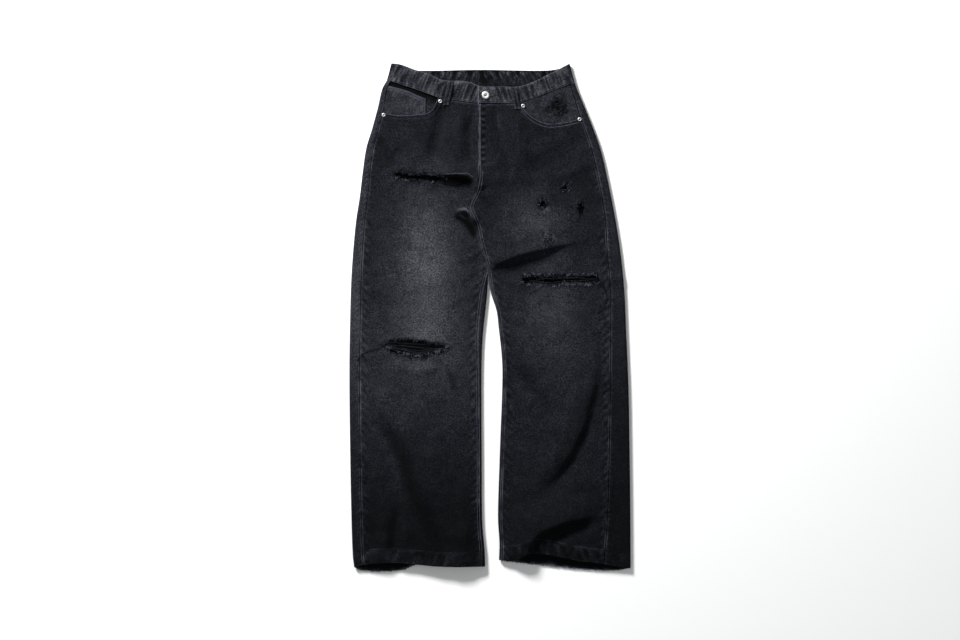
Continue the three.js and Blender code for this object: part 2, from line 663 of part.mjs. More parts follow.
function makeBackPockets() {
  const centre = BACK_RISE(300);
  for (const [name, leg] of [["back_pocket_right", RIGHT], ["back_pocket_left", LEFT]]) {
    const near = centre + leg * BACK_POCKET.inset;
    const far = near + leg * BACK_POCKET.width;
    const taper = leg * 7;
    const outline = [
      [near, BACK_POCKET.top], [near + taper, BACK_POCKET.side], [(near + far) / 2, BACK_POCKET.point],
      [far - taper, BACK_POCKET.side + 4], [far, BACK_POCKET.outerTop],
    ];
    if (leg === RIGHT) outline.reverse();
    add(name, floorPiece(outline, SEAT_LIFT - PLY_GAP), cloth(DENIM_BLACK));
  }
}

// ---- button and rivets ---------------------------------------------------------------------------------------------
function turned(profile, segments) {
  const points = profile.map(([r, z]) => new THREE.Vector2(r, z));
  return new THREE.LatheGeometry(points, segments).rotateX(Math.PI / 2);
}

function makeHardware() {
  const { radius, shank } = BUTTON;
  const bandTop = upper(LEFT, BUTTON.x, BUTTON.y) + bandLift(BUTTON.x);
  const button = turned(
    [
      [0, -BAND_CLOTH], [shank, -BAND_CLOTH], [shank, PLY_GAP], [radius - 0.6, PLY_GAP], [radius, 1],
      [radius - 0.5, 2.2], [radius - 2, 2.9], [4.2, 2.5], [3.3, 1.5], [1.4, 1.5], [0.9, 2], [0, 2.1],
    ],
    28,
  );
  add("button", button.translate(BUTTON.x, BUTTON.y, bandTop), nickel());
  const rivets = {
    rivet_right_side: [RIGHT, -219, 419],
    rivet_right_loop: [RIGHT, -102.5, 447],
    rivet_left_loop: [LEFT, 68, 437.5],
    rivet_left_side: [LEFT, 184.5, 410],
  };
  for (const [name, [leg, x, y]] of Object.entries(rivets)) {
    const rivet = turned([[0, 0], [4.1, 0], [4.2, 0.6], [3.3, 1.5], [1.9, 1.7], [1.2, 1.1], [0, 1.1]], 18);
    add(name, rivet.translate(x, y, upper(leg, x, y) + PLY_GAP), nickel());
  }
}

makeFronts();
makeBacks();
makeWaistband();
makePockets();
makeFly();
makeLoops();
makeBackPockets();
makeHardware();

// The origin is on the floor under the middle of the whole garment.
const box = new THREE.Box3().setFromObject(jeans);
const middle = box.getCenter(new THREE.Vector3());
jeans.position.set(-middle.x, -middle.y, -box.min.z);

export default jeans;
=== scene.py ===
import math

import bpy
import numpy as np
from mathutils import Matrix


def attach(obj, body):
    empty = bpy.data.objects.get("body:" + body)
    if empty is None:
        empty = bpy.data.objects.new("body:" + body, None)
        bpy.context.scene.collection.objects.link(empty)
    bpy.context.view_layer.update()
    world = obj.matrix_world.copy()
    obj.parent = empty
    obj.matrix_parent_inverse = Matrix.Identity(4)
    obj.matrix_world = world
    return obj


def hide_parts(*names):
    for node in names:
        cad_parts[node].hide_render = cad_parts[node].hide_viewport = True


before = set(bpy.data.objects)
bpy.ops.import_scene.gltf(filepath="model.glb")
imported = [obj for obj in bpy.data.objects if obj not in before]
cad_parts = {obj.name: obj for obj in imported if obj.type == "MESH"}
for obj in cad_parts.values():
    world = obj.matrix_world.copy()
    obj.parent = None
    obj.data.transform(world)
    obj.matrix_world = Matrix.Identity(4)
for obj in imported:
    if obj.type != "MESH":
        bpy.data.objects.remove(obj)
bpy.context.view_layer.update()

# The plan is in millimetres seen from above, +y to the waist, +x to the wearer's left.
right, left = -1, 1
crotch = (-3.0, 103.0)
planOrigin = (0.0, -3.14)  # moves the plan's own zero to the middle of the garment
seamGap = 0.5
plyGap = 0.4
detail = 1.0
cloth = {"thickness": 1.3, "hem": 28.0, "hemPly": 1.1}  # the hem is turned up, so it is this much thicker


def pieceName(kind, side):
    # the piece's own name and the node that it stands for
    word = "Right" if side == right else "Left"
    return kind + word, kind + "_" + word.lower()


def smoothstep(low, high, value):
    t = np.clip((np.asarray(value, float) - low) / (high - low), 0, 1)
    return t * t * (3 - 2 * t)


def lerp(a, b, t):
    return a + (b - a) * t


def bell(distance, width):
    return np.exp(-((distance / width) ** 2))


def spot(x, y, centre, half):
    return np.exp(-(((x - centre[0]) / half[0]) ** 2) - ((y - centre[1]) / half[1]) ** 2)


def curve(*points):
    # a smooth line through [at, value] points, level past both ends
    xs = np.array([p[0] for p in points], float)
    ys = np.array([p[1] for p in points], float)
    last = len(xs) - 1
    before, after = np.maximum(np.arange(last + 1) - 1, 0), np.minimum(np.arange(last + 1) + 1, last)
    slopes = (ys[after] - ys[before]) / (xs[after] - xs[before])

    def at(value):
        t = np.clip(np.asarray(value, float), xs[0], xs[-1])
        k = np.clip(np.searchsorted(xs, t, side="left"), 1, last)
        width = xs[k] - xs[k - 1]
        s = (t - xs[k - 1]) / width
        s2, s3 = s * s, s * s * s
        start = (2 * s3 - 3 * s2 + 1) * ys[k - 1] + (s3 - 2 * s2 + s) * width * slopes[k - 1]
        return start + (3 * s2 - 2 * s3) * ys[k] + (s3 - s2) * width * slopes[k]

    return at


def smoothLine(line, count):
    # x and y of a smooth line through a few points
    steps = np.linspace(0, len(line) - 1, count)
    return tuple(curve(*[(i, point[axis]) for i, point in enumerate(line)])(steps) for axis in (0, 1))


noiseTables = {}


def unevenness(x, y, size, seed):
    # smooth uneven values from -1 to 1, about size millimetres across
    if seed not in noiseTables:
        noiseTables[seed] = np.random.default_rng(seed).random((128, 128)) * 2 - 1
    table = noiseTables[seed]
    u, v = np.asarray(x, float) / size + 300, np.asarray(y, float) / size + 300
    i, j = np.floor(u).astype(int), np.floor(v).astype(int)
    f, g = u - i, v - j
    f, g = f * f * (3 - 2 * f), g * g * (3 - 2 * g)
    pick = lambda a, b: table[(i + a) % 128, (j + b) % 128]
    return lerp(lerp(pick(0, 0), pick(1, 0), f), lerp(pick(0, 1), pick(1, 1), f), g)


# the outline and the seams, for the wearer's right and left
outer = {
    right: curve(
        (-520, -279), (-487, -283), (-400, -286), (-270, -288.5), (-110, -290), (20, -288), (100, -285),
        (195, -277), (252, -268.5), (306, -262), (352, -255), (390, -243.5), (432, -232), (474, -222),
        (491, -213), (526, -203.5),
    ),
    left: curve(
        (-520, 290), (-400, 289.5), (-270, 288), (-150, 286), (-15, 280.5), (60, 277), (138, 269),
        (214, 257), (306, 238.5), (352, 227), (390, 213.5), (432, 196.5), (478, 177.5), (491, 173.5),
        (526, 164),
    ),
}
inner = {
    right: curve(
        (-515, -10), (-480, -11), (-418, -16), (-300, -17), (-114, -17.5), (-38, -15), (20, -9),
        (57, -5.5), (103, -3.4),
    ),
    left: curve(
        (-500, 18.5), (-464, 19.5), (-410, 16.5), (-300, 19.5), (-229, 22), (-152, 25), (-88, 25),
        (-15, 17.5), (16, 13.5), (57, 1), (103, -2.6),
    ),
}
sideInset = {
    right: curve((-520, 20), (0, 21), (195, 18), (306, 15), (420, 13), (491, 8.5)),
    left: curve((-520, 56), (-400, 47), (-150, 38), (40, 29), (138, 27), (214, 20), (410, 17), (491, 9.5)),
}
inseamInset = {
    right: curve((-520, 8.5), (-150, 8), (0, 13.5), (50, 13), (80, 8), (103, 1.6)),
    left: curve((-520, 6.5), (-20, 5.5), (40, 5.5), (80, 4), (103, 1.6)),
}


def seamOf(side):
    return lambda y: outer[side](y) - side * sideInset[side](y)


sideSeam = {side: seamOf(side) for side in (right, left)}
outerFold = dict.fromkeys(
    (right, left), curve((-520, 5), (-400, 4.6), (103, 4.7), (300, 5.5), (440, 7), (526, 7))
)
innerFold = {
    right: curve((-515, 7), (-420, 5.5), (-300, 4.6), (103, 4.7)),
    left: curve((-500, 5.6), (-420, 5), (-300, 4.6), (103, 4.7)),
}
frontRise = curve(
    (103, -3), (122, -9.5), (155, -18.5), (192, -26.5), (208, -33), (226, -41), (240, -38), (262, -27),
    (290, -21.5), (314, -21.6), (360, -21.6), (445, -21.6),
)
backRise = curve((103, -3), (200, -14), (300, -19), (480, -20), (526, -20))
bandFrontTop = curve(
    (-203.5, 525.7), (-184, 523), (-154, 512), (-131, 505), (-97, 490.5), (-55, 488.5), (-36, 484),
    (-22, 478), (40, 477), (61, 478), (82, 484), (132, 508.5), (164, 525),
)
bandFrontFoot = curve(
    (-213, 491), (-196, 486), (-146, 469), (-101, 453), (-78, 450), (-25, 443.5), (51, 443), (64, 444),
    (120, 465), (158, 480), (174, 487),
)
bandBackTop = curve(
    (-203.5, 525.7), (-185, 517.5), (-154, 511.5), (-20, 513), (115, 511.5), (146, 516), (164, 525)
)
bandBackFoot = curve((-213, 491), (-185, 482), (-120, 478), (-20, 477), (80, 478), (146, 482), (174, 487))
hemFront = {
    right: curve((-281, -513), (-260, -507), (-222, -503.5), (-184, -503.5), (-110, -510), (-10, -511)),
    left: curve(
        (18, -498), (55, -496), (68, -490), (78, -484), (120, -487), (178, -498), (235, -506), (290, -515),
    ),
}
hemBack = {
    right: curve(
        (-281, -513), (-268, -518), (-222, -521), (-175, -517), (-154, -508), (-60, -506), (-10, -511),
    ),
    left: curve((18, -498), (33, -500), (120, -509.5), (196, -517), (255, -519), (290, -515)),
}
mouth = {
    right: [(-217, 421), (-184, 417), (-154, 418.5), (-131, 421), (-117, 431), (-107, 452)],
    left: [(184, 409.5), (151, 402), (120, 400), (97, 407.5), (77, 421), (64, 440)],
}


def off(line, x, y):
    # how far a point lies from a line, its left side positive, and how far along it, in millimetres
    line = np.asarray(line, float)
    steps = line[1:] - line[:-1]
    lengths = np.hypot(steps[:, 0], steps[:, 1])
    best, along = np.full(np.shape(x), np.inf), np.zeros(np.shape(x))
    passed = 0.0
    for (ax, ay), (sx, sy), length in zip(line[:-1], steps, lengths):
        ux, uy = sx / length, sy / length
        t = np.clip((x - ax) * ux + (y - ay) * uy, 0, length)
        dx, dy = x - ax - ux * t, y - ay - uy * t
        away = np.hypot(dx, dy) * np.where(ux * dy - uy * dx < 0, -1, 1)
        nearer = np.abs(away) < np.abs(best)
        best, along = np.where(nearer, away, best), np.where(nearer, passed + t, along)
        passed += length
    return best, along, passed


# line, height, width on its left, width on its right, and the shares over which its ends fade, if not 0.3
thighRoll = [
    ([(188, 160), (150, 153), (124, 146), (64, 132), (20, 116), (4, 106)], 13, 5.5, 44, 0.55, 0.22),
    ([(150, 120), (84, 106), (40, 94), (12, 84)], -5, 14, 22, 0.4, 0.1),  # below it
]
mainFolds = [
    ([(-60, 291), (-110, 297), (-205, 313)], 6.5, 9, 36, 0.2, 0.4),  # over the thigh rip
    ([(-26, 262), (-33, 284), (-46, 294), (-84, 296), (-116, 293)], 13, 4.5, 22, 0.1, 0.3),  # its drop
    ([(-38, 258), (-60, 274), (-104, 281)], -4, 8, 12, 0.2, 0.4),
    ([(-28, 190), (-38, 210), (-48, 222), (-66, 221)], 13, 4, 9, 0.3, 0.2),  # crotch pucker
    ([(-68, 210), (-52, 196), (-38, 182), (-26, 160)], -10, 4, 12, 0.15, 0.4),
    ([(-46, 150), (-30, 128), (-16, 100)], -3, 10, 12),
    ([(-240, 388), (-218, 350), (-194, 310)], -8, 8, 20, 0.3, 0.15),  # hip hollow
    ([(0, 268), (56, 262), (104, 272)], -5, 12, 20, 0.2, 0.4),  # below the fly
    ([(222, -75), (206, -155), (190, -215), (166, -264), (134, -308), (96, -344)], 8.5, 18, 46),
    ([(26, -52), (52, -84), (76, -118), (104, -160)], -6, 9, 20, 0.2, 0.4),  # left knee hollow
    (
        [(-110, -448), (-128, -400), (-146, -340), (-172, -272), (-200, -220), (-236, -176)],
        8, 17, 48, 0.25, 0.3,
    ),
    ([(-194, -385), (-200, -440), (-196, -500)], -6, 9, 12, 0.4, 0.1),
    ([(226, -402), (154, -417), (104, -436), (80, -460), (68, -510)], 15, 10, 50, 0.35, 0.1),  # left hem roll
    ([(-225, -520), (-225, -440)], 4, 34, 34),  # right hem mouth
    ([(-72, -525), (-72, -410)], 9, 50, 50, 0.2, 0.4),
]
smallCreases = [
    ([(-92, 436), (-104, 384), (-120, 326)], -7, 9, 14, 0.1, 0.2),
    ([(-60, 426), (-68, 370), (-60, 318)], 5, 15, 15),
    ([(-34, 430), (-42, 370), (-36, 318)], -4.5, 6, 12, 0.2, 0.3),
    ([(10, 434), (24, 372), (42, 308), (30, 272)], -5, 8, 13, 0.1, 0.3),
    ([(46, 424), (64, 366), (78, 320)], 5, 15, 17),
    ([(206, 380), (150, 334), (64, 296)], -5, 13, 20),
    ([(214, 330), (170, 300), (120, 286)], 4, 14, 14),
    ([(-228, 300), (-205, 322), (-186, 352)], -3.2, 6, 9),
    ([(-60, 250), (-100, 262), (-150, 258)], -2.2, 9, 9),
    ([(-240, 250), (-200, 232), (-150, 228)], -2.2, 12, 14),
    ([(-111, -85), (-95, -104), (-80, -123)], -3.4, 4, 6),
    ([(-215, -96), (-150, -108), (-96, -98)], 2.6, 8, 12),
    ([(-232, 30), (-196, 22), (-160, 26)], -2.2, 9, 9),
    ([(-60, 60), (-34, 82), (-14, 96)], -3.6, 7, 9),
    ([(-70, 120), (-42, 128), (-20, 132)], 2.4, 8, 8),
    ([(-262, -150), (-236, -196), (-205, -222), (-188, -274)], -3.4, 9, 10),
    ([(-100, -230), (-84, -300), (-64, -380)], -2.6, 12, 12),
    ([(-50, -180), (-44, -260), (-46, -340)], 2.2, 12, 10),
    ([(-240, -330), (-232, -400), (-236, -470)], -2.6, 9, 12),
    ([(-176, -392), (-172, -440), (-178, -500)], 3.2, 9, 12, 0.3, 0.2),
    ([(-110, -440), (-96, -470), (-90, -508)], -3.4, 9, 9, 0.3, 0.1),
    ([(92, 212), (112, 208), (126, 196)], -1.8, 5, 7),
    ([(160, 200), (196, 196), (226, 204)], -2.2, 8, 8),
    ([(206, 150), (226, 132), (238, 104)], 2, 9, 9),
    ([(20, 66), (52, 62), (90, 48)], -3.4, 8, 12, 0.2, 0.3),
    ([(28, 8), (60, 2), (96, -14)], 2.6, 9, 12),
    ([(120, -60), (150, -52), (184, -60)], -2, 10, 12),
    ([(34, -120), (46, -170), (44, -220)], 2.4, 10, 10),
    ([(232, -80), (219, -160), (203, -228), (177, -287), (143, -330), (104, -360)], -4.5, 8, 10),
    ([(146, -250), (128, -300), (96, -330)], 2.2, 9, 9),
    ([(40, -300), (52, -350), (50, -400)], -2.8, 12, 12),
    ([(150, -368), (190, -360), (226, -366)], -2.2, 10, 12),
    ([(224, -424), (176, -438), (132, -458), (112, -490)], -5, 9, 12, 0.4, 0.1),
    ([(190, -460), (186, -500)], -2.4, 9, 9, 0.2, 0.1),
    ([(40, -430), (46, -470), (44, -496)], 2.2, 9, 9, 0.3, 0.1),
]

# painted light along the folds: painted shade in their hollows and painted highlights on their crests;
# as above, but a share of the tone's level in place of a height
paintedFoldShading = [
    ([(-70, 210), (-56, 203), (-42, 188), (-29, 164)], -0.95, 3.5, 4.5, 0.1, 0.3),  # crotch pucker
    ([(-50, 208), (-40, 196), (-29, 172)], -0.7, 5, 6, 0.2, 0.3),
    ([(-66, 223), (-54, 226), (-43, 219)], 0.9, 2.5, 3, 0.2, 0.2),
    ([(-92, 289), (-62, 287), (-40, 280)], -0.85, 5, 4, 0.3, 0.1),  # drop to the rise seam
    ([(-70, 284), (-48, 279), (-37, 268)], -0.6, 4, 5),
    ([(186, 166), (124, 154), (64, 141), (22, 127)], 0.2, 8, 8, 0.3, 0.2),  # thigh roll
    ([(120, 128), (70, 113), (30, 98)], -0.26, 9, 9, 0.4, 0.1),
    (
        [(-238, -198), (-203, -243), (-184, -276), (-171, -315), (-155, -366), (-132, -424), (-116, -480)],
        -0.42, 20, 13, 0.25, 0.2,
    ),
    ([(-232, -228), (-206, -276), (-194, -330), (-180, -386)], 0.2, 12, 15),
    ([(-188, -382), (-198, -418), (-203, -476)], -0.4, 7, 9, 0.3, 0.1),
    ([(-176, -400), (-172, -440), (-168, -490)], 0.22, 10, 7, 0.3, 0.1),
    ([(-92, -100), (-80, -126), (-70, -150)], -0.3, 8, 6),
    (
        [(229, -100), (219, -166), (203, -224), (180, -282), (155, -315), (116, -353), (88, -368)],
        -0.2, 8, 30, 0.2, 0.2,
    ),
    ([(48, -84), (70, -118), (104, -160), (122, -190)], -0.24, 14, 10, 0.3, 0.4),
    ([(24, -40), (30, -80), (34, -130), (32, -190)], -0.2, 14, 8),
    ([(222, -408), (154, -424), (104, -446), (82, -470)], -0.25, 16, 8, 0.3, 0.1),
    ([(-240, 388), (-218, 350), (-194, 312)], -0.22, 8, 14, 0.3, 0.2),
]


def alongCreases(creases, x, y):
    height = np.zeros(np.shape(x))
    for line, high, onLeft, onRight, *fading in creases:
        fadeIn, fadeOut = fading or (0.3, 0.3)
        away, along, whole = off(line, x, y)
        width = np.where(away > 0, onLeft, onRight)
        share = along / whole
        ends = smoothstep(-0.1, fadeIn, share) * smoothstep(1.1, 1 - fadeOut, share)
        height += high * ends * bell(away, width)
    return height


def foldHeight(x, y):
    onLeftLeg = smoothstep(-5, 12, x)
    return alongCreases(mainFolds + smallCreases, x, y) + onLeftLeg * alongCreases(thighRoll, x, y)


def roundness(distance, radius):
    t = np.clip(1 - distance / radius, 0, 1)
    return np.sqrt(1 - t * t)


def edges(side, x, y):
    fromOuter = np.maximum((x - outer[side](y)) * -side, 0)
    fromInner = np.maximum((inner[side](y) - x) * -side, 0)
    return fromOuter, fromInner


leastHeight = 8.6


def upperFace(side, x, y):
    # height of the top of the cloth over the floor
    x, y = np.broadcast_arrays(np.asarray(x, float), np.asarray(y, float))
    fromOuter, fromInner = edges(side, x, y)
    seat = smoothstep(crotch[1] - 42, crotch[1], y)  # the inner edge opens out into the seat
    outerRadius, innerRadius = outerFold[side](y), innerFold[side](y)
    acrossLeg = fromOuter / np.maximum(fromOuter + fromInner, 1e-6)
    acrossSeat = (x - outer[right](y)) / (outer[left](y) - outer[right](y))
    across = lerp(np.clip(acrossLeg, 0, 1), np.clip(acrossSeat, 0, 1), seat)
    level = lerp(outerRadius, lerp(innerRadius, outerRadius, seat), smoothstep(0.1, 0.9, acrossLeg))
    insideOuter = smoothstep(0, 36, fromOuter - outerRadius)
    inside = insideOuter * lerp(smoothstep(0, 36, fromInner - innerRadius), 1, seat)
    drift = 1.3 * unevenness(x, y, 44, 3) + 0.75 * unevenness(x, y, 20, 4) + 0.22 * unevenness(x, y, 8, 5)
    rise = 2 * level + 3.5 * np.sin(np.pi * across) + (foldHeight(x, y) + drift) * inside
    soft = leastHeight + 3 * np.exp(np.minimum(rise - leastHeight - 3, 0) / 3)
    height = np.where(rise > leastHeight + 3, rise, soft)
    roundOut = roundness(fromOuter, outerRadius)
    roundIn = lerp(roundness(fromInner, innerRadius), 1, seat)
    nearOut = fromOuter < fromInner
    radius = np.where(nearOut, outerRadius, lerp(innerRadius, outerRadius, seat))
    return radius + (height - radius) * np.minimum(roundOut, roundIn)


def underFace(side, x, y):
    # height of the cloth's underside: on the floor, and just off it over the back pockets
    x, y = np.broadcast_arrays(np.asarray(x, float), np.asarray(y, float))
    fromOuter, fromInner = edges(side, x, y)
    seat = smoothstep(crotch[1] - 10, crotch[1] + 10, y)
    outerRadius, innerRadius = outerFold[side](y), innerFold[side](y)
    lift = 1.6 * smoothstep(195, 212, y) * smoothstep(0, 16, fromOuter - outerRadius)
    curl = np.maximum(
        outerRadius * (1 - roundness(fromOuter, outerRadius)),
        innerRadius * (1 - roundness(fromInner, innerRadius)) * (1 - seat),
    )
    return lift + curl


# how washed out the dye is, from 0 to 1: centre, half sizes, amount
fades = [
    ((-132, 112), (64, 146), 0.136),
    ((-136, -50), (62, 62), 0.07),
    ((85, 212), (50, 46), 0.082),
    ((150, 214), (50, 40), 0.016),
    ((128, 18), (54, 92), 0.074),
    ((110, 120), (60, 16), 0.020),
    ((-150, 380), (60, 50), -0.006),
    ((-60, 330), (40, 60), -0.01),
    ((-165, 440), (50, 22), 0.02),
]
# the cloth's tone up each leg from the hem: darker towards the hems
toneAlongLeg = {
    right: curve(
        (-520, 0.054), (-430, 0.06), (-330, 0.088), (-250, 0.11), (-130, 0.142), (-60, 0.134), (60, 0.116),
        (200, 0.106), (300, 0.102), (450, 0.1),
    ),
    left: curve(
        (-520, 0.056), (-430, 0.074), (-330, 0.094), (-200, 0.108), (-60, 0.118), (100, 0.11), (300, 0.096),
        (450, 0.1),
    ),
}


def toneWithFoldShading(x, y):
    tone = lerp(toneAlongLeg[right](y), toneAlongLeg[left](y), smoothstep(-25, 25, x))
    for centre, half, amount in fades:
        tone = tone + amount * spot(x, y, centre, half)
    mottle = 0.010 * unevenness(x, y, 30, 11) + 0.008 * unevenness(x, y, 11, 12)
    tone = tone + mottle * (0.4 + 5 * np.maximum(tone - 0.08, 0))
    # the folds' painted shade and painted highlights
    return tone * (1 + np.maximum(alongCreases(paintedFoldShading, x, y), -0.9))


# cloth meshes
def toMetres(points):
    moved = np.array(points, float)
    moved[..., 0] += planOrigin[0]
    moved[..., 1] += planOrigin[1]
    return moved * 0.001


def finishPiece(ob, material, slot, nodes):
    bpy.context.scene.collection.objects.link(ob)
    ob.data.materials.append(material)
    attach(ob, "root")
    if nodes:
        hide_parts(*nodes)
    return ob


def meshFrom(name, vertices, faces, attributes=None, smooth=True):
    # faces is a list of arrays, one for each number of corners
    mesh = bpy.data.meshes.new(name)
    corners = np.concatenate([f.ravel() for f in faces]).astype(np.int32)
    sizes = np.concatenate([np.full(len(f), f.shape[1]) for f in faces])
    starts = np.concatenate([[0], np.cumsum(sizes)[:-1]]).astype(np.int32)
    mesh.vertices.add(len(vertices))
    mesh.vertices.foreach_set("co", np.asarray(vertices, np.float32).ravel())
    mesh.loops.add(len(corners))
    mesh.loops.foreach_set("vertex_index", corners)
    mesh.polygons.add(len(starts))
    mesh.polygons.foreach_set("loop_start", starts)
    mesh.update(calc_edges=True)
    mesh.polygons.foreach_set("use_smooth", np.full(len(starts), smooth))
    for key, values in (attributes or {}).items():
        made = mesh.attributes.new(key, "FLOAT", "POINT")
        made.data.foreach_set("value", np.asarray(values, np.float32).ravel())
    mesh.validate()
    return bpy.data.objects.new(name, mesh)


def turnedOver(*grids):
    # each grid with its columns reversed, so that the outer face looks the other way
    return [grid[:, ::-1] if np.ndim(grid) > 1 else grid for grid in grids]


def clothShell(names, points, thickness, tone, worn, insideTone, slot="denim", keep=None, flip=False):
    # a closed shell from a grid of points on the outer face, with the cells in keep
    if flip:
        points, thickness, keep = turnedOver(points, thickness, keep)
        tone, worn, insideTone = turnedOver(tone, worn, insideTone)
    rows, columns = points.shape[:2]
    along, across = np.gradient(points, axis=0), np.gradient(points, axis=1)
    normals = np.cross(across, along)
    normals /= np.maximum(np.linalg.norm(normals, axis=2, keepdims=True), 1e-9)
    thick = np.broadcast_to(np.asarray(thickness, float), (rows, columns))[..., None]
    vertices = np.concatenate([points.reshape(-1, 3), (points - normals * thick).reshape(-1, 3)])
    index = np.arange(rows * columns).reshape(rows, columns)
    under = rows * columns
    if keep is None:
        keep = np.ones((rows - 1, columns - 1), bool)
    a, b, c, d = index[:-1, :-1], index[:-1, 1:], index[1:, 1:], index[1:, :-1]
    parts = [np.stack([q[keep] for q in (a, b, c, d)], 1)]
    parts.append(np.stack([q[keep] for q in (a, d, c, b)], 1) + under)
    padded = np.pad(keep, 1)
    inside = padded[1:-1, 1:-1]
    for start, end, beyond in (
        (a, b, padded[:-2, 1:-1]), (c, d, padded[2:, 1:-1]),
        (d, a, padded[1:-1, :-2]), (b, c, padded[1:-1, 2:]),
    ):
        rim = inside & ~beyond
        s, e = start[rim], end[rim]
        parts.append(np.stack([s, s + under, e + under, e], 1))
    faces = np.concatenate(parts)
    used, faces = np.unique(faces, return_inverse=True)
    faces = faces.reshape(-1, 4)
    spread = lambda values: np.broadcast_to(values, (rows, columns)).ravel()
    full = lambda values, inner: np.concatenate([spread(values), spread(inner)])[used]
    attributes = {
        "tone": full(tone, insideTone),
        # this attribute holds wear, and on the fronts also a painted highlight along one fold crest
        "worn": full(np.clip(worn, 0, 1), 0.0),
    }
    name, node = names
    ob = meshFrom(name, toMetres(vertices[used]), [faces], attributes)
    return finishPiece(ob, denim, slot, [node])


def spacing(nearStart, middleCount, nearEnd):
    # shares and offsets of the lines of a grid: close together by both ends
    first, last = nearStart[-1], nearEnd[-1]
    t = np.linspace(0, 1, middleCount + 2)[1:-1]
    share = np.concatenate([np.zeros(len(nearStart)), t, np.ones(len(nearEnd))])
    offset = np.concatenate([nearStart, lerp(first, -last, t), -np.array(nearEnd)[::-1]])
    return share, offset


fineEdge = [0, 0.8, 1.7, 2.8, 4.2, 6, 8.2, 10.8]
hemLines = [0, 0.8, 1.8, 3, 5, 7.5, 10, 12.5, 15, 17.5, 20, 22.5, 24.5, 26, 27, 28, 29, 30.2, 32, 34.2]


def rowLines(hem, top, topLines=fineEdge):
    # rows from hem to crotch and on to the top: each gives its y at an x
    legShare, legOffset = spacing(hemLines, int(222 * detail), [0])
    seatShare, seatOffset = spacing([0], int(124 * detail), topLines)
    count = len(legShare) - 1  # the crotch row comes once
    share = np.concatenate([legShare[:count], seatShare])[:, None]
    offset = np.concatenate([legOffset[:count], seatOffset])[:, None]
    onLeg = (np.arange(len(share)) < count)[:, None]

    def at(x):
        low = np.where(onLeg, hem(x), crotch[1])
        high = np.where(onLeg, crotch[1], top(x))
        return low + (high - low) * share + offset

    return at


def settle(xOf, yOf, start):
    y = start
    for _ in range(5):
        x = xOf(y)
        y = yOf(x)
    return x, y


# cuts through cloth
def insideOutline(outline, x, y):
    outline = np.asarray(outline, float)
    inside = np.zeros(np.shape(x), bool)
    for (x0, y0), (x1, y1) in zip(outline, np.roll(outline, -1, axis=0)):
        if y0 == y1:
            continue
        crosses = ((y0 > y) != (y1 > y)) & (x < (x1 - x0) * (y - y0) / (y1 - y0) + x0)
        inside ^= crosses
    return inside


def nearestOn(outline, x, y):
    # nearest point of a closed outline
    outline = np.asarray(outline, float)
    best = np.full(np.shape(x), np.inf)
    px, py = np.array(x, float), np.array(y, float)
    for (x0, y0), (x1, y1) in zip(outline, np.roll(outline, -1, axis=0)):
        dx, dy = x1 - x0, y1 - y0
        length = dx * dx + dy * dy
        if length == 0:
            continue
        t = np.clip(((x - x0) * dx + (y - y0) * dy) / length, 0, 1)
        qx, qy = x0 + dx * t, y0 + dy * t
        gap = np.hypot(x - qx, y - qy)
        nearer = gap < best
        best = np.where(nearer, gap, best)
        px, py = np.where(nearer, qx, px), np.where(nearer, qy, py)
    return best, px, py


def cutCells(x, y, keep, outlines):
    # takes out the cells inside the outlines, moves the rim onto them and gives the distance to a cut
    distance = np.full(x.shape, 99.0)
    for outline in outlines:
        low, high = np.min(outline, axis=0) - 16, np.max(outline, axis=0) + 16
        near = (x > low[0]) & (x < high[0]) & (y > low[1]) & (y < high[1])
        i, j = np.nonzero(near)
        rows, columns = slice(i.min(), i.max() + 1), slice(j.min(), j.max() + 1)
        sx, sy = x[rows, columns], y[rows, columns]
        cx = (sx[:-1, :-1] + sx[1:, :-1] + sx[:-1, 1:] + sx[1:, 1:]) / 4
        cy = (sy[:-1, :-1] + sy[1:, :-1] + sy[:-1, 1:] + sy[1:, 1:]) / 4
        gone = insideOutline(outline, cx, cy)
        part = keep[rows.start : rows.stop - 1, columns.start : columns.stop - 1]
        part &= ~gone
        touchesGone, touchesKept = np.zeros(sx.shape, bool), np.zeros(sx.shape, bool)
        for a in (0, 1):
            for b in (0, 1):
                window = (slice(a, sx.shape[0] - 1 + a), slice(b, sx.shape[1] - 1 + b))
                touchesGone[window] |= gone
                touchesKept[window] |= ~gone
        gap, px, py = nearestOn(outline, sx, sy)
        rim = touchesGone & touchesKept
        sx[rim], sy[rim] = px[rim], py[rim]
        gap[rim] = 0
        gap[insideOutline(outline, sx, sy)] = 0
        distance[rows, columns] = np.minimum(distance[rows, columns], gap)
    return distance


def raggedOutline(start, end, above, below, seed, steps=70, rough=1.1):
    # a rip, pointed at both ends with ragged upper and lower edges; above and below are curves of the share
    t = np.linspace(0, 1, steps)
    x = lerp(start[0], end[0], t)
    middle = lerp(start[1], end[1], t)
    taper = np.minimum(1, np.minimum(t, 1 - t) / 0.05)
    upper = middle + above(t) + rough * taper * unevenness(x, t * 0, 4.5, seed)
    lower = middle - below(t) + rough * taper * unevenness(x, t * 0, 4.5, seed + 1)
    return np.concatenate([np.stack([x, lower], 1), np.stack([x, upper], 1)[-2:0:-1]])


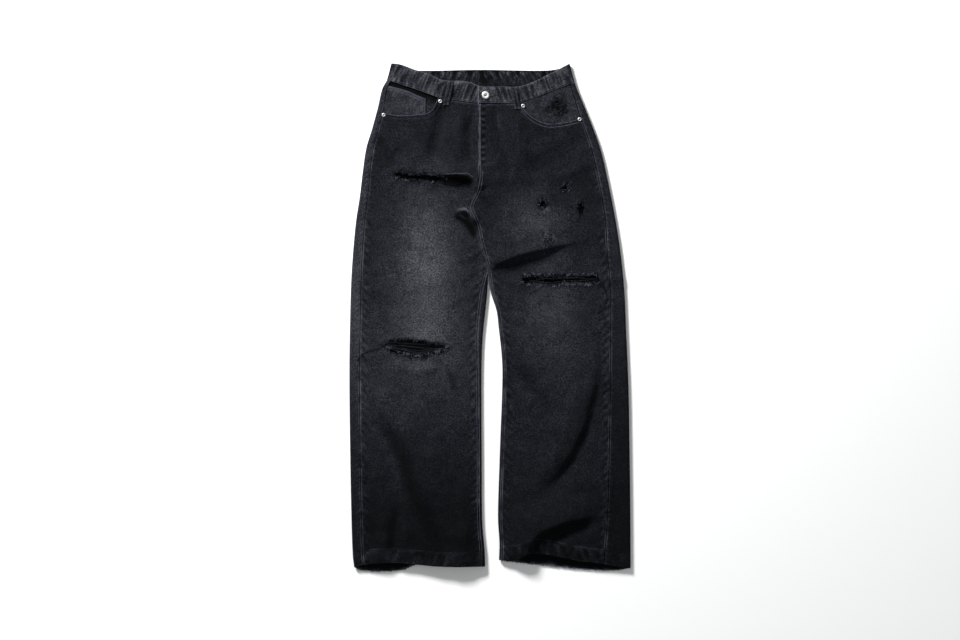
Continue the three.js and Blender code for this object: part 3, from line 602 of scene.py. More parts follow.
rips = {
    right: [
        raggedOutline(
            (-198, 295), (-90, 287),
            curve((0, 0), (0.06, 7), (0.2, 8), (0.4, 5), (0.6, 8), (0.8, 6.5), (0.93, 3.5), (1, 0)),
            curve((0, 0), (0.08, 7), (0.25, 9), (0.5, 7.5), (0.75, 8), (0.93, 4), (1, 0)),
            21,
        ),
        raggedOutline(
            (-226, -54), (-81, -60),
            curve((0, 0), (0.1, 8), (0.3, 14), (0.5, 13), (0.75, 9), (0.93, 6), (1, 0)),
            curve((0, 0), (0.1, 10), (0.3, 19), (0.5, 25), (0.7, 20), (0.9, 10), (1, 0)),
            23,
        ),
    ],
    left: [
        raggedOutline(
            (66, 81), (226, 80),
            curve((0, 0), (0.03, 8), (0.2, 9), (0.5, 10), (0.8, 10), (0.97, 11), (1, 0)),
            curve((0, 0), (0.03, 9), (0.2, 10), (0.35, 12), (0.6, 9), (0.97, 8), (1, 0)),
            25,
        )
    ],
}


def smallHole(centre, half, seed):
    t = np.linspace(0, 2 * np.pi, 22)[:-1]
    wobble = 1 + 0.25 * unevenness(t * 6, t * 0, 3, seed)
    return np.stack([centre[0] + half[0] * np.cos(t) * wobble, centre[1] + half[1] * np.sin(t) * wobble], 1)


holes = [
    smallHole((156, 270), (9, 6), 31),
    smallHole((107, 237), (8.5, 8), 32),
    smallHole((187, 225), (6.5, 12.5), 33),
    smallHole((116, 163), (3.2, 3.6), 34),
    smallHole((122, 155), (2.4, 2.8), 35),
]
abrasions = [  # rubbed through in specks: centre, half sizes, strength
    ((119, 164), (15, 17), 0.95),
    ((114, 224), (8, 12), 0.7),
    ((157, 279), (12, 6), 0.3),
    ((188, 240), (7, 7), 0.25),
    ((112, 238), (11, 9), 0.3),
]
# a painted highlight along the crest of the drop over the thigh rip
crestHighlight = [(-96, 295), (-70, 298), (-46, 298), (-34, 289)]
facingHoles = [
    smallHole((138, 446), (6, 2.4), 41),
    smallHole((148, 441), (5, 2.2), 42),
    smallHole((140, 434), (6.5, 2.0), 43),
    smallHole((150, 429), (4.5, 2.0), 44),
    smallHole((142, 423), (3.4, 1.6), 45),
]


def mouthOutline(side):
    rim = list(zip(*smoothLine(mouth[side], 60)))
    return [(side * 300, rim[0][1])] + rim + [(rim[-1][0], 560), (side * 300, 560)]


# shading: a socket with arithmetic, and one method for any node
class Wire:
    def __init__(self, tree, socket):
        self.tree, self.socket = tree, socket

    def isVector(self):
        return self.socket.type in ("VECTOR", "RGBA")

    def combine(self, operation, a, b=None):
        both = [v for v in (a, b) if v is not None]
        if any(isinstance(v, Wire) and v.isVector() for v in both):
            if operation == "MULTIPLY" and not all(isinstance(v, Wire) and v.isVector() for v in both):
                vector = a if isinstance(a, Wire) and a.isVector() else b
                scale = b if vector is a else a
                return self.tree.scaled(vector, scale)
            return self.tree.add("ShaderNodeVectorMath", {"operation": operation}, dict(enumerate(both)))
        return self.tree.add("ShaderNodeMath", {"operation": operation}, dict(enumerate(both)))

    def atLeast(self, other):
        return self.combine("MAXIMUM", self, other)

    def atMost(self, other):
        return self.combine("MINIMUM", self, other)


def operator(name, operation):
    # a * b and, where a is a plain number, its reflected form
    setattr(Wire, f"__{name}__", lambda self, other: self.combine(operation, self, other))
    setattr(Wire, f"__r{name}__", lambda self, other: self.combine(operation, other, self))


for name, operation in (
    ("add", "ADD"), ("sub", "SUBTRACT"), ("mul", "MULTIPLY"), ("truediv", "DIVIDE"), ("pow", "POWER"),
):
    operator(name, operation)


class Shader:
    def __init__(self, name):
        self.material = bpy.data.materials.new(name)
        self.material.use_nodes = True
        self.nodes = self.material.node_tree.nodes
        self.links = self.material.node_tree.links
        self.nodes.clear()

    def node(self, kind, settings=None, inputs=None):
        made = self.nodes.new(kind)
        for key, value in (settings or {}).items():
            if key == "stops":
                ramp = made.color_ramp
                while len(ramp.elements) < len(value):
                    ramp.elements.new(0.5)
                for element, (position, colour) in zip(ramp.elements, value):
                    element.position = position
                    element.color = (*colour, 1)
            else:
                setattr(made, key, value)
        for key, value in (inputs or {}).items():
            if isinstance(value, Wire):
                self.links.new(value.socket, made.inputs[key])
            else:
                made.inputs[key].default_value = value
        return made

    def add(self, kind, settings=None, inputs=None, output=0):
        return Wire(self, self.node(kind, settings, inputs).outputs[output])

    def scaled(self, vector, scale):
        return self.add("ShaderNodeVectorMath", {"operation": "SCALE"}, {0: vector, "Scale": scale})

    def noise(self, at, scale, detail=2.0, rough=0.5):
        inputs = {"Vector": at, "Scale": scale, "Detail": detail, "Roughness": rough}
        return self.add("ShaderNodeTexNoise", {}, inputs)

    def bump(self, height, strength):
        return self.add("ShaderNodeBump", {}, {"Height": height, "Strength": strength, "Distance": 1.0})

    def finish(self, inputs, normal=None):
        shader = self.node("ShaderNodeBsdfPrincipled", {}, inputs)
        if normal is not None:
            self.links.new(normal.socket, shader.inputs["Normal"])
        end = self.node("ShaderNodeOutputMaterial")
        self.links.new(shader.outputs[0], end.inputs[0])
        return self.material


denimLook = {
    "darkTint": (0.86, 1.0, 1.42),  # unworn dye is bluer
    "paleTint": (0.99, 0.995, 1.08),
    "gain": 0.86,
    "fleck": 2.3,  # salt and pepper of the worn yarns
    "grain": 0.7,  # how strongly single yarns differ
    "slub": 0.3,  # long thick places in the yarn
    "paleLevel": 0.34,
    "twillPitch": 1.1,  # millimetres between the twill's ridges
    "roughness": 0.93,
}


def denimMaterial(name, look):
    m = Shader(name)
    at = m.add("ShaderNodeTexCoord", output="Object")
    tone = m.add("ShaderNodeAttribute", {"attribute_name": "tone"}, output="Fac")
    worn = m.add("ShaderNodeAttribute", {"attribute_name": "worn"}, output="Fac")
    yarn = m.add("ShaderNodeVectorMath", {"operation": "MULTIPLY"}, {0: at, 1: (1.0, 0.35, 1.0)})
    fleck = m.noise(at, 390.0, 2.0, 0.7)
    grain = m.noise(yarn, 820.0, 3.0, 0.65)
    slub = m.noise(yarn, 210.0)
    cloud = m.noise(at, 38.0, 5.0, 0.68)
    slant = m.add("ShaderNodeVectorMath", {"operation": "DOT_PRODUCT"}, {0: at, 1: (0.86, 0.5, 0.0)}, "Value")
    turns = slant * (2 * math.pi * 1000 / look["twillPitch"])
    ridge = m.add("ShaderNodeMath", {"operation": "SINE"}, {0: turns})
    speck = (fleck - 0.5) * look["fleck"] + (grain - 0.5) * look["grain"] + (slub - 0.5) * look["slub"]
    speck = speck * (1.5 - tone * 2.4)  # the darker cloth shows its flecks more
    level = tone + (cloud - 0.5) * 0.03 + (cloud - 0.5) * tone * 0.45
    level = level * (1 + speck + ridge * 0.05)
    level = level + (look["paleLevel"] - level) * (worn * (0.55 + grain * 0.9)).atMost(1.0)
    linear = level.atLeast(0.01) ** 2.2 * look["gain"]
    pale = ((level - 0.08) * 5).atLeast(0).atMost(1)
    tint = m.add(
        "ShaderNodeMix", {"data_type": "RGBA"},
        {0: pale, 6: (*look["darkTint"], 1), 7: (*look["paleTint"], 1)}, 2,
    )
    colour = m.scaled(tint, linear)
    normal = m.bump(ridge * 0.00006 + grain * 0.0002 + slub * 0.00016, 0.8)
    rough = look["roughness"] + (cloud - 0.5) * 0.08
    return m.finish({"Base Color": colour, "Roughness": rough, "Specular IOR Level": 0.08}, normal)


denim = denimMaterial("washedDenim", denimLook)
threadLook = {
    "sewing": 0.105, "dyed": 0.045, "pale": 0.33, "grey": 0.2, "edge": 0.25,
    "tint": (0.84, 0.96, 1.26),  # a blue cast, as the dye's
}


def threadMaterial(name, level, spread):
    m = Shader(name)
    at = m.add("ShaderNodeTexCoord", output="Object")
    turn = m.noise(at, 260.0)
    ply = m.noise(at, 1500.0)
    shade = (level + (turn - 0.5) * spread) * (0.85 + ply * 0.3)
    colour = m.scaled(threadLook["tint"], shade.atLeast(0.01) ** 2.2)
    normal = m.bump(ply * 0.0002, 0.6)
    return m.finish({"Base Color": colour, "Roughness": 0.9, "Specular IOR Level": 0.12}, normal)


sewingThread = threadMaterial("sewingThread", threadLook["sewing"], 0.05)
paleThread = threadMaterial("frayedCotton", threadLook["pale"], 0.3)
darkThread = threadMaterial("dyedYarn", threadLook["dyed"], 0.04)
greyThread = threadMaterial("wornYarn", threadLook["grey"], 0.16)
edgeThread = threadMaterial("wornEdgeAndCrestHighlight", threadLook["edge"], 0.34)


def metalMaterial(name, colour, rough):
    m = Shader(name)
    at = m.add("ShaderNodeTexCoord", output="Object")
    wear = m.noise(at, 420.0, 3.0)
    scratch = m.noise(at, 1600.0)
    tint = m.scaled(colour, 0.86 + wear * 0.22)
    normal = m.bump(scratch * 0.00008, 0.5)
    return m.finish({"Base Color": tint, "Metallic": 1.0, "Roughness": rough + (wear - 0.5) * 0.2}, normal)


nickel = metalMaterial("wornNickel", (0.62, 0.62, 0.61), 0.5)
# near-black metal for the button's outer rim: painted shade round the button
rimShadeMetal = metalMaterial("buttonRimShade", (0.1, 0.1, 0.1), 0.45)
# painted shade: near-black metal set in the button's recess and the rivets' eyes
recessShadeMetal = metalMaterial("recessPaintedShade", (0.05, 0.05, 0.05), 0.5)
print("materials made")


# sewn lines: worn along their ridges, puckered by the thread
def sewn(distance, along, depth=0.8, ridge=0.7, pucker=0.55, pitch=11.0, seed=50):
    drift = 2.6 * unevenness(along, along * 0, 26, seed)
    wave = np.sin(2 * np.pi * (along + distance * 0.6) / pitch + drift)
    wave = wave * (0.55 + 0.6 * unevenness(along, along * 0 + 4, 38, seed + 2))
    height = -depth * bell(distance, 1.5) + ridge * bell(distance - 4.6, 3.0)
    height = height + pucker * wave * bell(distance - 5, 5.5)
    rub = np.clip(0.42 + 0.95 * unevenness(along, along * 0 + 9, 15, seed + 1), 0, 1)
    line = bell(distance - 1.6, 1.0) * (0.12 + 0.88 * rub)
    blotch = np.clip(0.3 + 0.8 * unevenness(along, distance * 0.4, 13, seed + 3), 0, 1)
    band = bell(distance - 4, 4.5) * (0.24 * blotch + 0.24 * wave)
    return height, np.clip(line * 0.95 + np.maximum(band, 0) * 0.5, 0, 1), wave


def hemPucker(x, fromHem, side):
    slanted = x + side * fromHem * 0.35
    wide, narrow = unevenness(slanted, fromHem * 0.35, 8.5, 72), unevenness(slanted, fromHem * 0.3, 4.2, 73)
    return 0.8 * wide + 0.5 * narrow


front = {"flat": (0.275, 0.985), "area": 0.232, "across": 74}
flyStitch = [(17.5, 443), (19.5, 400), (20.5, 360), (18, 342), (11, 328), (2, 320), (-8, 317), (-18, 315)]


def frontPanel(side):
    sideEdge = lambda y: outer[side](y) - side * (sideInset[side](y) + seamGap)
    innerEdge = lambda y: np.where(
        y < crotch[1], inner[side](y) + side * inseamInset[side](y), frontRise(y) + side * seamGap / 2
    )
    share, offset = spacing(fineEdge, int(front["across"] * detail), fineEdge)
    rowsAt = rowLines(hemFront[side], lambda x: bandFrontFoot(x) - 1)
    xOf = lambda y: sideEdge(y) + (innerEdge(y) - sideEdge(y)) * share - side * offset
    start = rowsAt(np.full((1, len(share)), side * 120.0))
    x, y = settle(xOf, rowsAt, start)
    keep = np.ones((x.shape[0] - 1, x.shape[1] - 1), bool)
    fromSide, fromInner = np.abs(x - sideEdge(y)), np.abs(x - innerEdge(y))
    fromHem = y - hemFront[side](x)
    fromBand = bandFrontFoot(x) - 1 - y
    distance = cutCells(x, y, keep, [mouthOutline(side)])
    torn = cutCells(x, y, keep, rips[side] + (holes if side == left else []))
    z = upperFace(side, x, y)
    if side == left:
        z = z + 1.3 * smoothstep(24, 14, x) * smoothstep(300, 314, y)
    tone, worn = toneWithFoldShading(x, y), np.zeros(x.shape)
    wear = []
    sideHeight, sideWorn, _ = sewn(fromSide, y, seed=50 + side, pucker=0.45)
    wear.append((sideHeight, sideWorn * 0.8))
    innerHeight, innerWorn, _ = sewn(fromInner, y, seed=60 + side, pucker=0.5)
    lineStrength = np.where((y > 100) & (y < 470), 1.0, 0.75)
    wear.append((innerHeight, innerWorn * lineStrength))
    hemAway = cloth["hem"] - fromHem
    hemHeight, hemWorn, _ = sewn(np.abs(hemAway), x, depth=0.7, ridge=0.4, pucker=0.3, pitch=12, seed=70)
    inHem = smoothstep(cloth["hem"] + 1, cloth["hem"] - 1, fromHem)
    hemWave = hemPucker(x, fromHem, side)
    hemSwell = 0.8 * hemWave * np.sin(np.pi * np.clip(fromHem / cloth["hem"], 0, 1))
    wear.append((hemHeight + inHem * (cloth["hemPly"] + hemSwell), hemWorn * 0.3))
    worn = worn + bell(fromHem, 1.4) * np.clip(0.12 + 0.3 * unevenness(x, y, 9, 74), 0, 1)
    tone = tone + inHem * ((0.012 if side == right else 0) + 0.046 * hemWave)
    tone = tone * (1 - 0.7 * bell(fromHem - 26.5, 1.3))
    worn = worn + 0.22 * bell(fromHem - 29.6, 1.2) * np.clip(0.5 + unevenness(x, y * 0, 12, 75), 0, 1)
    bandHeight, bandWorn, _ = sewn(fromBand, x, seed=80, pucker=0.4)
    wear.append((bandHeight, bandWorn * 0.5))
    mouthHeight, _, _ = sewn(np.abs(distance - 3.4), x + y, depth=0.9, ridge=0.7, pucker=0.3, seed=84)
    wear.append((np.where(distance < 30, mouthHeight, 0), 0))
    uneven = 0.7 + 0.5 * unevenness(x, y, 12, 86)
    worn = worn + bell(distance, 1.2) * (0.62 if side == left else 0.45) * uneven
    worn = worn + bell(distance - 6.8, 1.1) * (0.34 if side == left else 0.16) * uneven
    # painted shade in the groove along the pocket mouth
    tone = tone * (1 - 0.5 * bell(distance - 3.4, 1.5))
    if side == left:
        away, along, _ = off(flyStitch, x, y)
        near = np.abs(away) < 40
        height, rub, _ = sewn(np.abs(away), along, depth=0.55, ridge=0.35, pucker=0.35, pitch=9, seed=88)
        wear.append((np.where(near, height, 0), np.where(near, rub * 0.35, 0)))
    inset = smoothstep(0.3, 2.5, np.minimum.reduce([fromSide, fromInner]))
    for away, turn in ((fromSide, 97), (fromInner, 98)):
        blotches = np.sin(2 * np.pi * (y + away) / 19 + 3 * unevenness(y, y * 0, 40, turn))
        blotches = blotches + unevenness(x, y, 7, turn)
        tone = tone * (1 + 0.26 * blotches * bell(away - 9, 7.0) * smoothstep(260, 160, y))
    for height, rub in wear:
        z = z + height * np.minimum(1, 0.4 + inset)
        worn = worn + rub
    curl = bell(torn, 5.0)
    z = z + 0.9 * curl * (0.3 + 0.9 * unevenness(x, y, 9, 90))
    worn = worn + bell(torn, 2.6) * np.clip(0.04 + 0.4 * unevenness(x, y, 3.4, 91), 0, 1)
    # painted shade on the cloth round the rips and holes
    tone = tone * (1 - 0.3 * bell(torn, 3.6))
    for centre, half, rub in abrasions:
        worked = spot(x, y, centre, half)
        picked = unevenness(x, y, 3.0, 94) + 0.5 * unevenness(x, y, 6.0, 95)
        worn = worn + worked * np.clip(picked * 1.5, 0, 1) * rub
        tone = tone * (1 - 0.5 * worked * np.clip(-picked * 1.6, 0, 1))
    # painted highlight along that crest, added to the wear's pale level
    away, along, whole = off(crestHighlight, x, y)
    worn = worn + 0.42 * bell(away, 1.3) * np.sin(np.pi * along / whole)
    if side == left:
        roping = np.sin(2 * np.pi * y / 13.5 + 1.5 * unevenness(y, y * 0, 30, 96))
        beside = bell(fromInner - 8, 4.0) * smoothstep(312, 330, y)
        groove = bell(fromInner - 3.4, 1.5) * smoothstep(306, 318, y)
        z = z + 1.1 * roping * beside - 0.9 * groove
        # painted shade in the groove beside the fly's edge
        tone = (tone + 0.07 * roping * beside) * (1 - 0.45 * groove)
    points = np.stack([x, y, z], 2)
    thick = cloth["thickness"] + cloth["hemPly"] * inHem
    ob = clothShell(pieceName("front", side), points, thick, tone, worn, 0.1, keep=keep, flip=side == left)
    behind = pieceName("back", side)[0]


back = {
    "flat": (0.345, 0.93), "area": 0.29, "across": 26,
    "stripTone": {  # beside the side seam, where the leg is rubbed
        right: curve((-500, 0.08), (-250, 0.108), (0, 0.185), (200, 0.16), (450, 0.13)),
        left: curve((-500, 0.06), (-250, 0.08), (-50, 0.11), (200, 0.13), (450, 0.13)),
    },
}
foldAngles = (68, 45, 22)  # stations on a folded edge's upper half, in degrees up from its outermost line
stripColumns = 15  # how many of the back's stations lie on the upper face, from side seam to folded edge


def roundFold(angle):
    # how far in from the outermost line a station at this angle lies, as a share of the fold's radius
    return 1 - math.cos(math.radians(angle))


def backColumns(side):
    # stations from the side seam over the outer fold, along the floor and up the inner fold:
    # each has its face, its x on the leg and its x on the seat
    fold, tight = outerFold[side], innerFold[side]

    def fromOut(distance):
        return lambda y: outer[side](y) - side * distance(y)

    def fromIn(distance):
        return lambda y: inner[side](y) + side * distance(y)

    def strip(share):
        inset = lambda y: sideInset[side](y) - seamGap
        return fromOut(lambda y: lerp(inset(y), np.minimum(fold(y), inset(y) - 1), share))

    def onFold(place, radius, angle):
        return place(lambda y: radius(y) * roundFold(angle))

    def onFloor(share):
        return lambda y: lerp(floorStart(y), fromIn(lambda v: tight(v) + 5)(y), share)

    def onSeat(share):
        return lambda y: lerp(floorStart(y), backRise(y) + side * seamGap / 2, share)

    def inseamStrip(share):
        return fromIn(lambda y: (inseamInset[side](y) - seamGap) * share)

    floorStart = fromOut(lambda y: fold(y) + 6)
    around = [("upper", strip(share)) for share in (0, 0.03, 0.07, 0.13, *np.linspace(0.2, 1, 8))]
    around += [("upper", onFold(fromOut, fold, angle)) for angle in foldAngles]
    around += [("edge", fromOut(lambda y: 0 * y))]
    around += [("under", onFold(fromOut, fold, angle)) for angle in (*foldAngles[::-1], 90)]
    count = int(back["across"] * detail)
    inward = [("under", onFloor(k / (count - 1))) for k in range(count)]
    inward += [("under", onFold(fromIn, tight, angle)) for angle in (90, *foldAngles)]
    inward += [("edge", fromIn(lambda y: 0 * y))]
    inward += [("upper", inseamStrip(share)) for share in (0.08, 0.3, 0.62, 0.8, 0.92, 1.0)]
    last = len(inward) - 1
    columns = [(face, place, place) for face, place in around]
    # the outer edge gets a second place of its own, so that it takes its height as the inner fold does
    columns[stripColumns] = ("edge", fromOut(lambda y: 0 * y), fromOut(lambda y: 0 * y))
    return columns + [(face, place, onSeat(k / last)) for k, (face, place) in enumerate(inward)]


yokeCut = {"flat": (0.23, 0.08), "area": 0.0133, "side": 45, "centre": 78, "tone": 0.13}


def yokeSeam(side, under):
    if not under:
        return lambda x: bandFrontFoot(x) - yokeCut["side"]
    outerX = side * (213 if side == right else 174)

    def seam(x):
        inward = np.clip((x - outerX) / (backRise(400) - outerX), 0, 1)
        return bandBackFoot(x) - lerp(yokeCut["side"], yokeCut["centre"], smoothstep(0, 1, inward))

    return seam


def backPoints(side, columns, rowsFor):
    # rowsFor gives, for the upper or the under face, the rows' y at an x
    grids = []
    for face, onLeg, onSeat in columns:
        rowsAt = rowsFor(face == "under")
        toSeat = lambda y: smoothstep(0, 28, y - crotch[1])
        xOf = lambda y: lerp(onLeg(y), onSeat(y), toSeat(y))
        x, y = settle(xOf, rowsAt, rowsAt(np.array([[side * 120.0]])))
        if face == "edge":
            z = outerFold[side](y)
            if onLeg is not onSeat:
                z = np.where(y < crotch[1], innerFold[side](y), z)
        elif face == "upper":
            z = upperFace(side, x, y)
        else:
            z = underFace(side, x, y)
        if onLeg is not onSeat:
            flat = underFace(side, x, y)
            z = lerp(z - 1.8 * smoothstep(-6, 2, y - crotch[1]) * (face == "upper"), flat, toSeat(y))
        grids.append(np.stack([x, y, np.maximum(z, 0)], 2))
    return np.concatenate(grids, axis=1)


def backPanel(side):
    columns = backColumns(side)
    cache = {}

    def rowsFor(under):
        if under not in cache:
            hem = hemBack[side] if under else hemFront[side]
            seam = yokeSeam(side, under)
            cache[under] = rowLines(hem, lambda x: seam(x) - seamGap, [0, 1, 2.2, 4, 6.5])
        return cache[under]

    points = backPoints(side, columns, rowsFor)
    x, y, z = points[..., 0], points[..., 1], points[..., 2]
    fromSeam = np.abs(x - sideSeam[side](y))
    height, worn, wave = sewn(fromSeam, y, seed=50 + side, pucker=0.55, ridge=0.9)
    strip = (np.arange(points.shape[1]) < stripColumns)[None, :]
    z = z + np.where(strip, height, 0) * smoothstep(0, 2, fromSeam)
    stripTone = back["stripTone"][side](y) + 0.012 * wave * bell(fromSeam, 9)
    tone = np.where(strip, stripTone, toneWithFoldShading(x, y))
    rub = np.where(strip, worn * (0.8 if side == right else 0.55), 0)
    fromInseam = np.abs(x - (inner[side](y) + side * inseamInset[side](y)))
    inStrip = (np.arange(points.shape[1]) > points.shape[1] - 9)[None, :] & (y < crotch[1])
    _, inWorn, _ = sewn(fromInseam, y, seed=60 + side)
    rub = rub + np.where(inStrip, inWorn * 0.8, 0)
    fromHem = y - np.where(strip, hemFront[side](x), hemBack[side](x))
    inHem = smoothstep(cloth["hem"] + 1, cloth["hem"] - 1, fromHem)
    hemWave = hemPucker(x, fromHem, side)
    rub = rub + bell(fromHem, 1.4) * 0.25
    tone = tone + inHem * (0.006 + 0.022 * hemWave)
    insideTone = 0.06 + 0.34 * bell(fromHem, 3.4) * np.clip(0.55 + unevenness(x, y, 5, 76), 0, 1)
    points = np.stack([x, y, z], 2)
    thick = cloth["thickness"] + cloth["hemPly"] * inHem
    ob = clothShell(pieceName("back", side), points, thick, tone, rub, insideTone, flip=side == right)


def yoke(side):
    # the back's stations on the seat, all on the floor past the outer fold
    stations = backColumns(side)
    pastFold = stripColumns + 4
    columns = [("under" if k > pastFold else face, seat, seat) for k, (face, _, seat) in enumerate(stations)]
    lines = np.concatenate([[0, 0.02, 0.05, 0.1], np.linspace(0.2, 0.9, 8), [0.96, 1]])[:, None]

    def rowsFor(under):
        seam = yokeSeam(side, under)
        foot = bandBackFoot if under else bandFrontFoot
        return lambda x: lerp(seam(x), foot(x) - 1, lines)

    points = backPoints(side, columns, rowsFor)
    x, y = points[..., 0], points[..., 1]
    tone = yokeCut["tone"] + 0.02 * unevenness(x, y, 12, 120)
    _, worn, _ = sewn(np.abs(y - y[:1]), x, seed=122)
    _, seamWorn, _ = sewn(np.abs(x - sideSeam[side](y)), y, seed=50 + side)
    strip = (np.arange(x.shape[1]) < stripColumns)[None, :]
    rub = worn * 0.7 + np.where(strip, seamWorn * 0.7, 0)
    ob = clothShell(pieceName("yoke", side), points, cloth["thickness"], tone, rub, 0.06, flip=side == right)


for makePiece in (frontPanel, backPanel, yoke):
    for side in (right, left):
        makePiece(side)
print("fronts, backs and yokes made")

# waistband: two halves, the left one's end lapping over the right one's
band = {
    "thickness": 2.5, "height": 35.0, "tone": 0.162, "paler": {right: 0.03, left: 0.038},
    "end": {right: 8.0, left: -24.3}, "flat": {right: (0.43, 0.037), left: (0.4, 0.037)},
}


def bandLift(x):
    return (band["thickness"] + plyGap) * smoothstep(40, 12, x)


def waistband(side):
    end = band["end"][side]
    radius = float(outerFold[side](500))

    def fromOut(distance):
        return lambda y: outer[side](y) - side * distance

    def onFront(share):
        return lambda y: lerp(end, foldStart(y), share)

    def onBack(share):
        return lambda y: lerp(foldStart(y), backRise(y) + side * seamGap / 2, share)

    foldStart = fromOut(radius + 3)
    count = int(180 * detail)
    columns = [("upper", onFront(share)) for share in (0, 0.008, 0.02, *np.linspace(0.035, 1, count))]
    columns += [("upper", fromOut(radius * roundFold(angle))) for angle in foldAngles]
    columns += [("edge", fromOut(0.0))]
    columns += [("under", fromOut(radius * roundFold(angle))) for angle in (*foldAngles[::-1], 90)]
    columns += [("under", onBack(share)) for share in np.linspace(0, 1, int(90 * detail))]
    nearFoot = np.array([0, 0.02, 0.05, 0.09, 0.14])
    lines = np.concatenate([nearFoot, np.linspace(0.2, 0.8, 9), [0.86, 0.91, 0.95, 0.98, 1]])[:, None]
    grids = []
    for face, place in columns:
        low, high = (bandBackFoot, bandBackTop) if face == "under" else (bandFrontFoot, bandFrontTop)
        rowsAt = lambda x: lerp(low(x), high(x), lines)
        x, y = settle(lambda y: place(y) + 0 * y, rowsAt, np.full(lines.shape, 480.0))
        if face == "edge":
            z = np.full(x.shape, radius)
        elif face == "upper":
            z = upperFace(side, x, y) + (bandLift(x) if side == left else 0)
        else:
            z = underFace(side, x, y)
        grids.append(np.stack([x, y, z], 2))
    points = np.concatenate(grids, axis=1)
    x, y, z = points[..., 0], points[..., 1], points[..., 2]
    step = np.hypot(np.diff(x, axis=1), np.diff(y, axis=1))
    along = np.concatenate([np.zeros((x.shape[0], 1)), np.cumsum(step, axis=1)], axis=1)
    fromFoot, fromTop = lines * band["height"] + 0 * x, (1 - lines) * band["height"] + 0 * x
    footHeight, footWorn, _ = sewn(fromFoot, along, seed=130, pucker=0.35, ridge=0.4)
    topHeight, topWorn, _ = sewn(fromTop, along, seed=132, pucker=0.35, ridge=0.4)
    slanted = along + 0.35 * y
    puckers = 0.35 * unevenness(slanted, y * 0.35, 8.5, 134) + unevenness(slanted, y * 0.22, 3.6, 135)
    puckers = np.sign(puckers) * np.abs(puckers) ** 0.7
    isFront = (np.arange(x.shape[1]) < count + 3)[None, :]
    z = z + np.where(isFront, footHeight + topHeight + 1.1 * puckers * np.sin(np.pi * lines) ** 0.5, 0)
    nearEdge = bell(fromTop, 8) + bell(fromFoot, 9)
    bandTone = band["tone"] + band["paler"][side] * isFront
    tone = bandTone + puckers * (0.055 + 0.06 * nearEdge) - 0.03 * np.sin(np.pi * lines)
    rub = footWorn * 0.6 + topWorn * 0.5
    rub = rub + bell(fromTop, 1.2) * (0.42 + 0.3 * unevenness(along, y, 14, 137))
    rub = rub + bell(fromFoot, 1.1) * 0.3
    # the back's inner face is left flat: its slanted streaks and pale ticks are painted light and shade of
    # its gathered puckers
    streak = unevenness(slanted, y * 0.35, 3.0, 138) + 0.35 * unevenness(slanted, y * 0.2, 9, 139)
    insideTone = 0.135 + 0.1 * streak * (0.3 + bell(fromTop, 10))
    tick = np.cos(2 * np.pi * (along / 16.5 + 0.35 * unevenness(along, along * 0, 30, 140)) + fromTop * 0.03)
    tick = np.clip(tick - 0.72, 0, 1) / 0.28  # short pale ticks where the back is gathered
    insideTone = insideTone - 0.035 + 0.14 * tick * bell(fromTop - 11, 8)
    insideTone = insideTone - 0.06 * np.exp(-(((x + 8) / 12) ** 4)) * bell(y - 495, 12)
    if side == left:
        rub = rub + np.where(isFront, bell(x - end, 1.5) * 0.8, 0)
    points = np.stack([x, y, z], 2)
    names = pieceName("waistband", side)
    ob = clothShell(names, points, band["thickness"], tone, rub, insideTone, flip=side == right)


waistband(right)
waistband(left)
print("waistband made")


def patch(names, side, sides, foot, top, look, toneAt, wornAt=None, cuts=()):
    # a flat piece behind the front; look says how far below the front's face it lies
    count, rows = look["grid"]
    share = np.linspace(0, 1, count)[None, :]
    lines = np.linspace(0, 1, rows)[:, None]
    low = lambda y: np.minimum(sides[0](y), sides[1](y))
    high = lambda y: np.maximum(sides[0](y), sides[1](y))
    rowsAt = lambda x: lerp(foot(x), top(x), lines)
    start = np.full((rows, count), float(np.mean(foot(0.0))))
    x, y = settle(lambda y: lerp(low(y), high(y), share), rowsAt, start)
    keep = np.ones((rows - 1, count - 1), bool)
    torn = cutCells(x, y, keep, list(cuts)) if len(cuts) else np.full(x.shape, 99.0)
    z = upperFace(side, x, y) - look["sunk"]
    worn = bell(torn, 2.5) * 0.2
    # painted shade round the cut holes
    tone = toneAt(x, y) - 0.05 * bell(torn, 7)
    if wornAt is not None:
        rub, height = wornAt(x, y)
        worn, z = worn + rub, z + height
    points = np.stack([x, y, z], 2)
    ob = clothShell(names, points, look["thickness"], tone, worn, 0.07, look["slot"], keep)


facingFoot = {
    right: curve((-225, 397), (-184, 394), (-150, 396), (-118, 404), (-100, 415), (-86, 430)),
    left: curve((42, 425), (58, 406), (80, 392), (120, 378), (150, 380), (200, 388)),
}
bandFoot = lambda x: bandFrontFoot(x) - 1


def facingWear(x, y):
    fromTop = np.abs(bandFoot(x) - y)
    shade = bell(fromTop, 3) * np.where(x > 0, 0.1, 0)
    return shade, 0.6 * unevenness(x, y, 16, 140)


facing = {
    right: {
        "sunk": 3.4, "thickness": 1.3, "grid": (60, 44), "slot": "worn_denim", "tone": 0.125, "inner": -86,
        "flat": (0.15, 0.1), "area": 0.0085,
    },
    left: {
        "sunk": 1.7, "thickness": 1.3, "grid": (76, 56), "slot": "worn_denim", "tone": 0.155, "inner": 42,
        "flat": (0.16, 0.11), "area": 0.0095,
    },
}
# fold: a line of painted shade across the left facing
torn = {"centre": (144, 437), "half": (17, 16), "fold": [(134, 456), (120, 434), (104, 412)]}


def rightFacingTone(x, y):
    # deep shade in the gap under the band
    return facing[right]["tone"] - 0.1 * bell(bandFoot(x) - y - 3, 8) + 0.02 * unevenness(x, y, 7, 141)


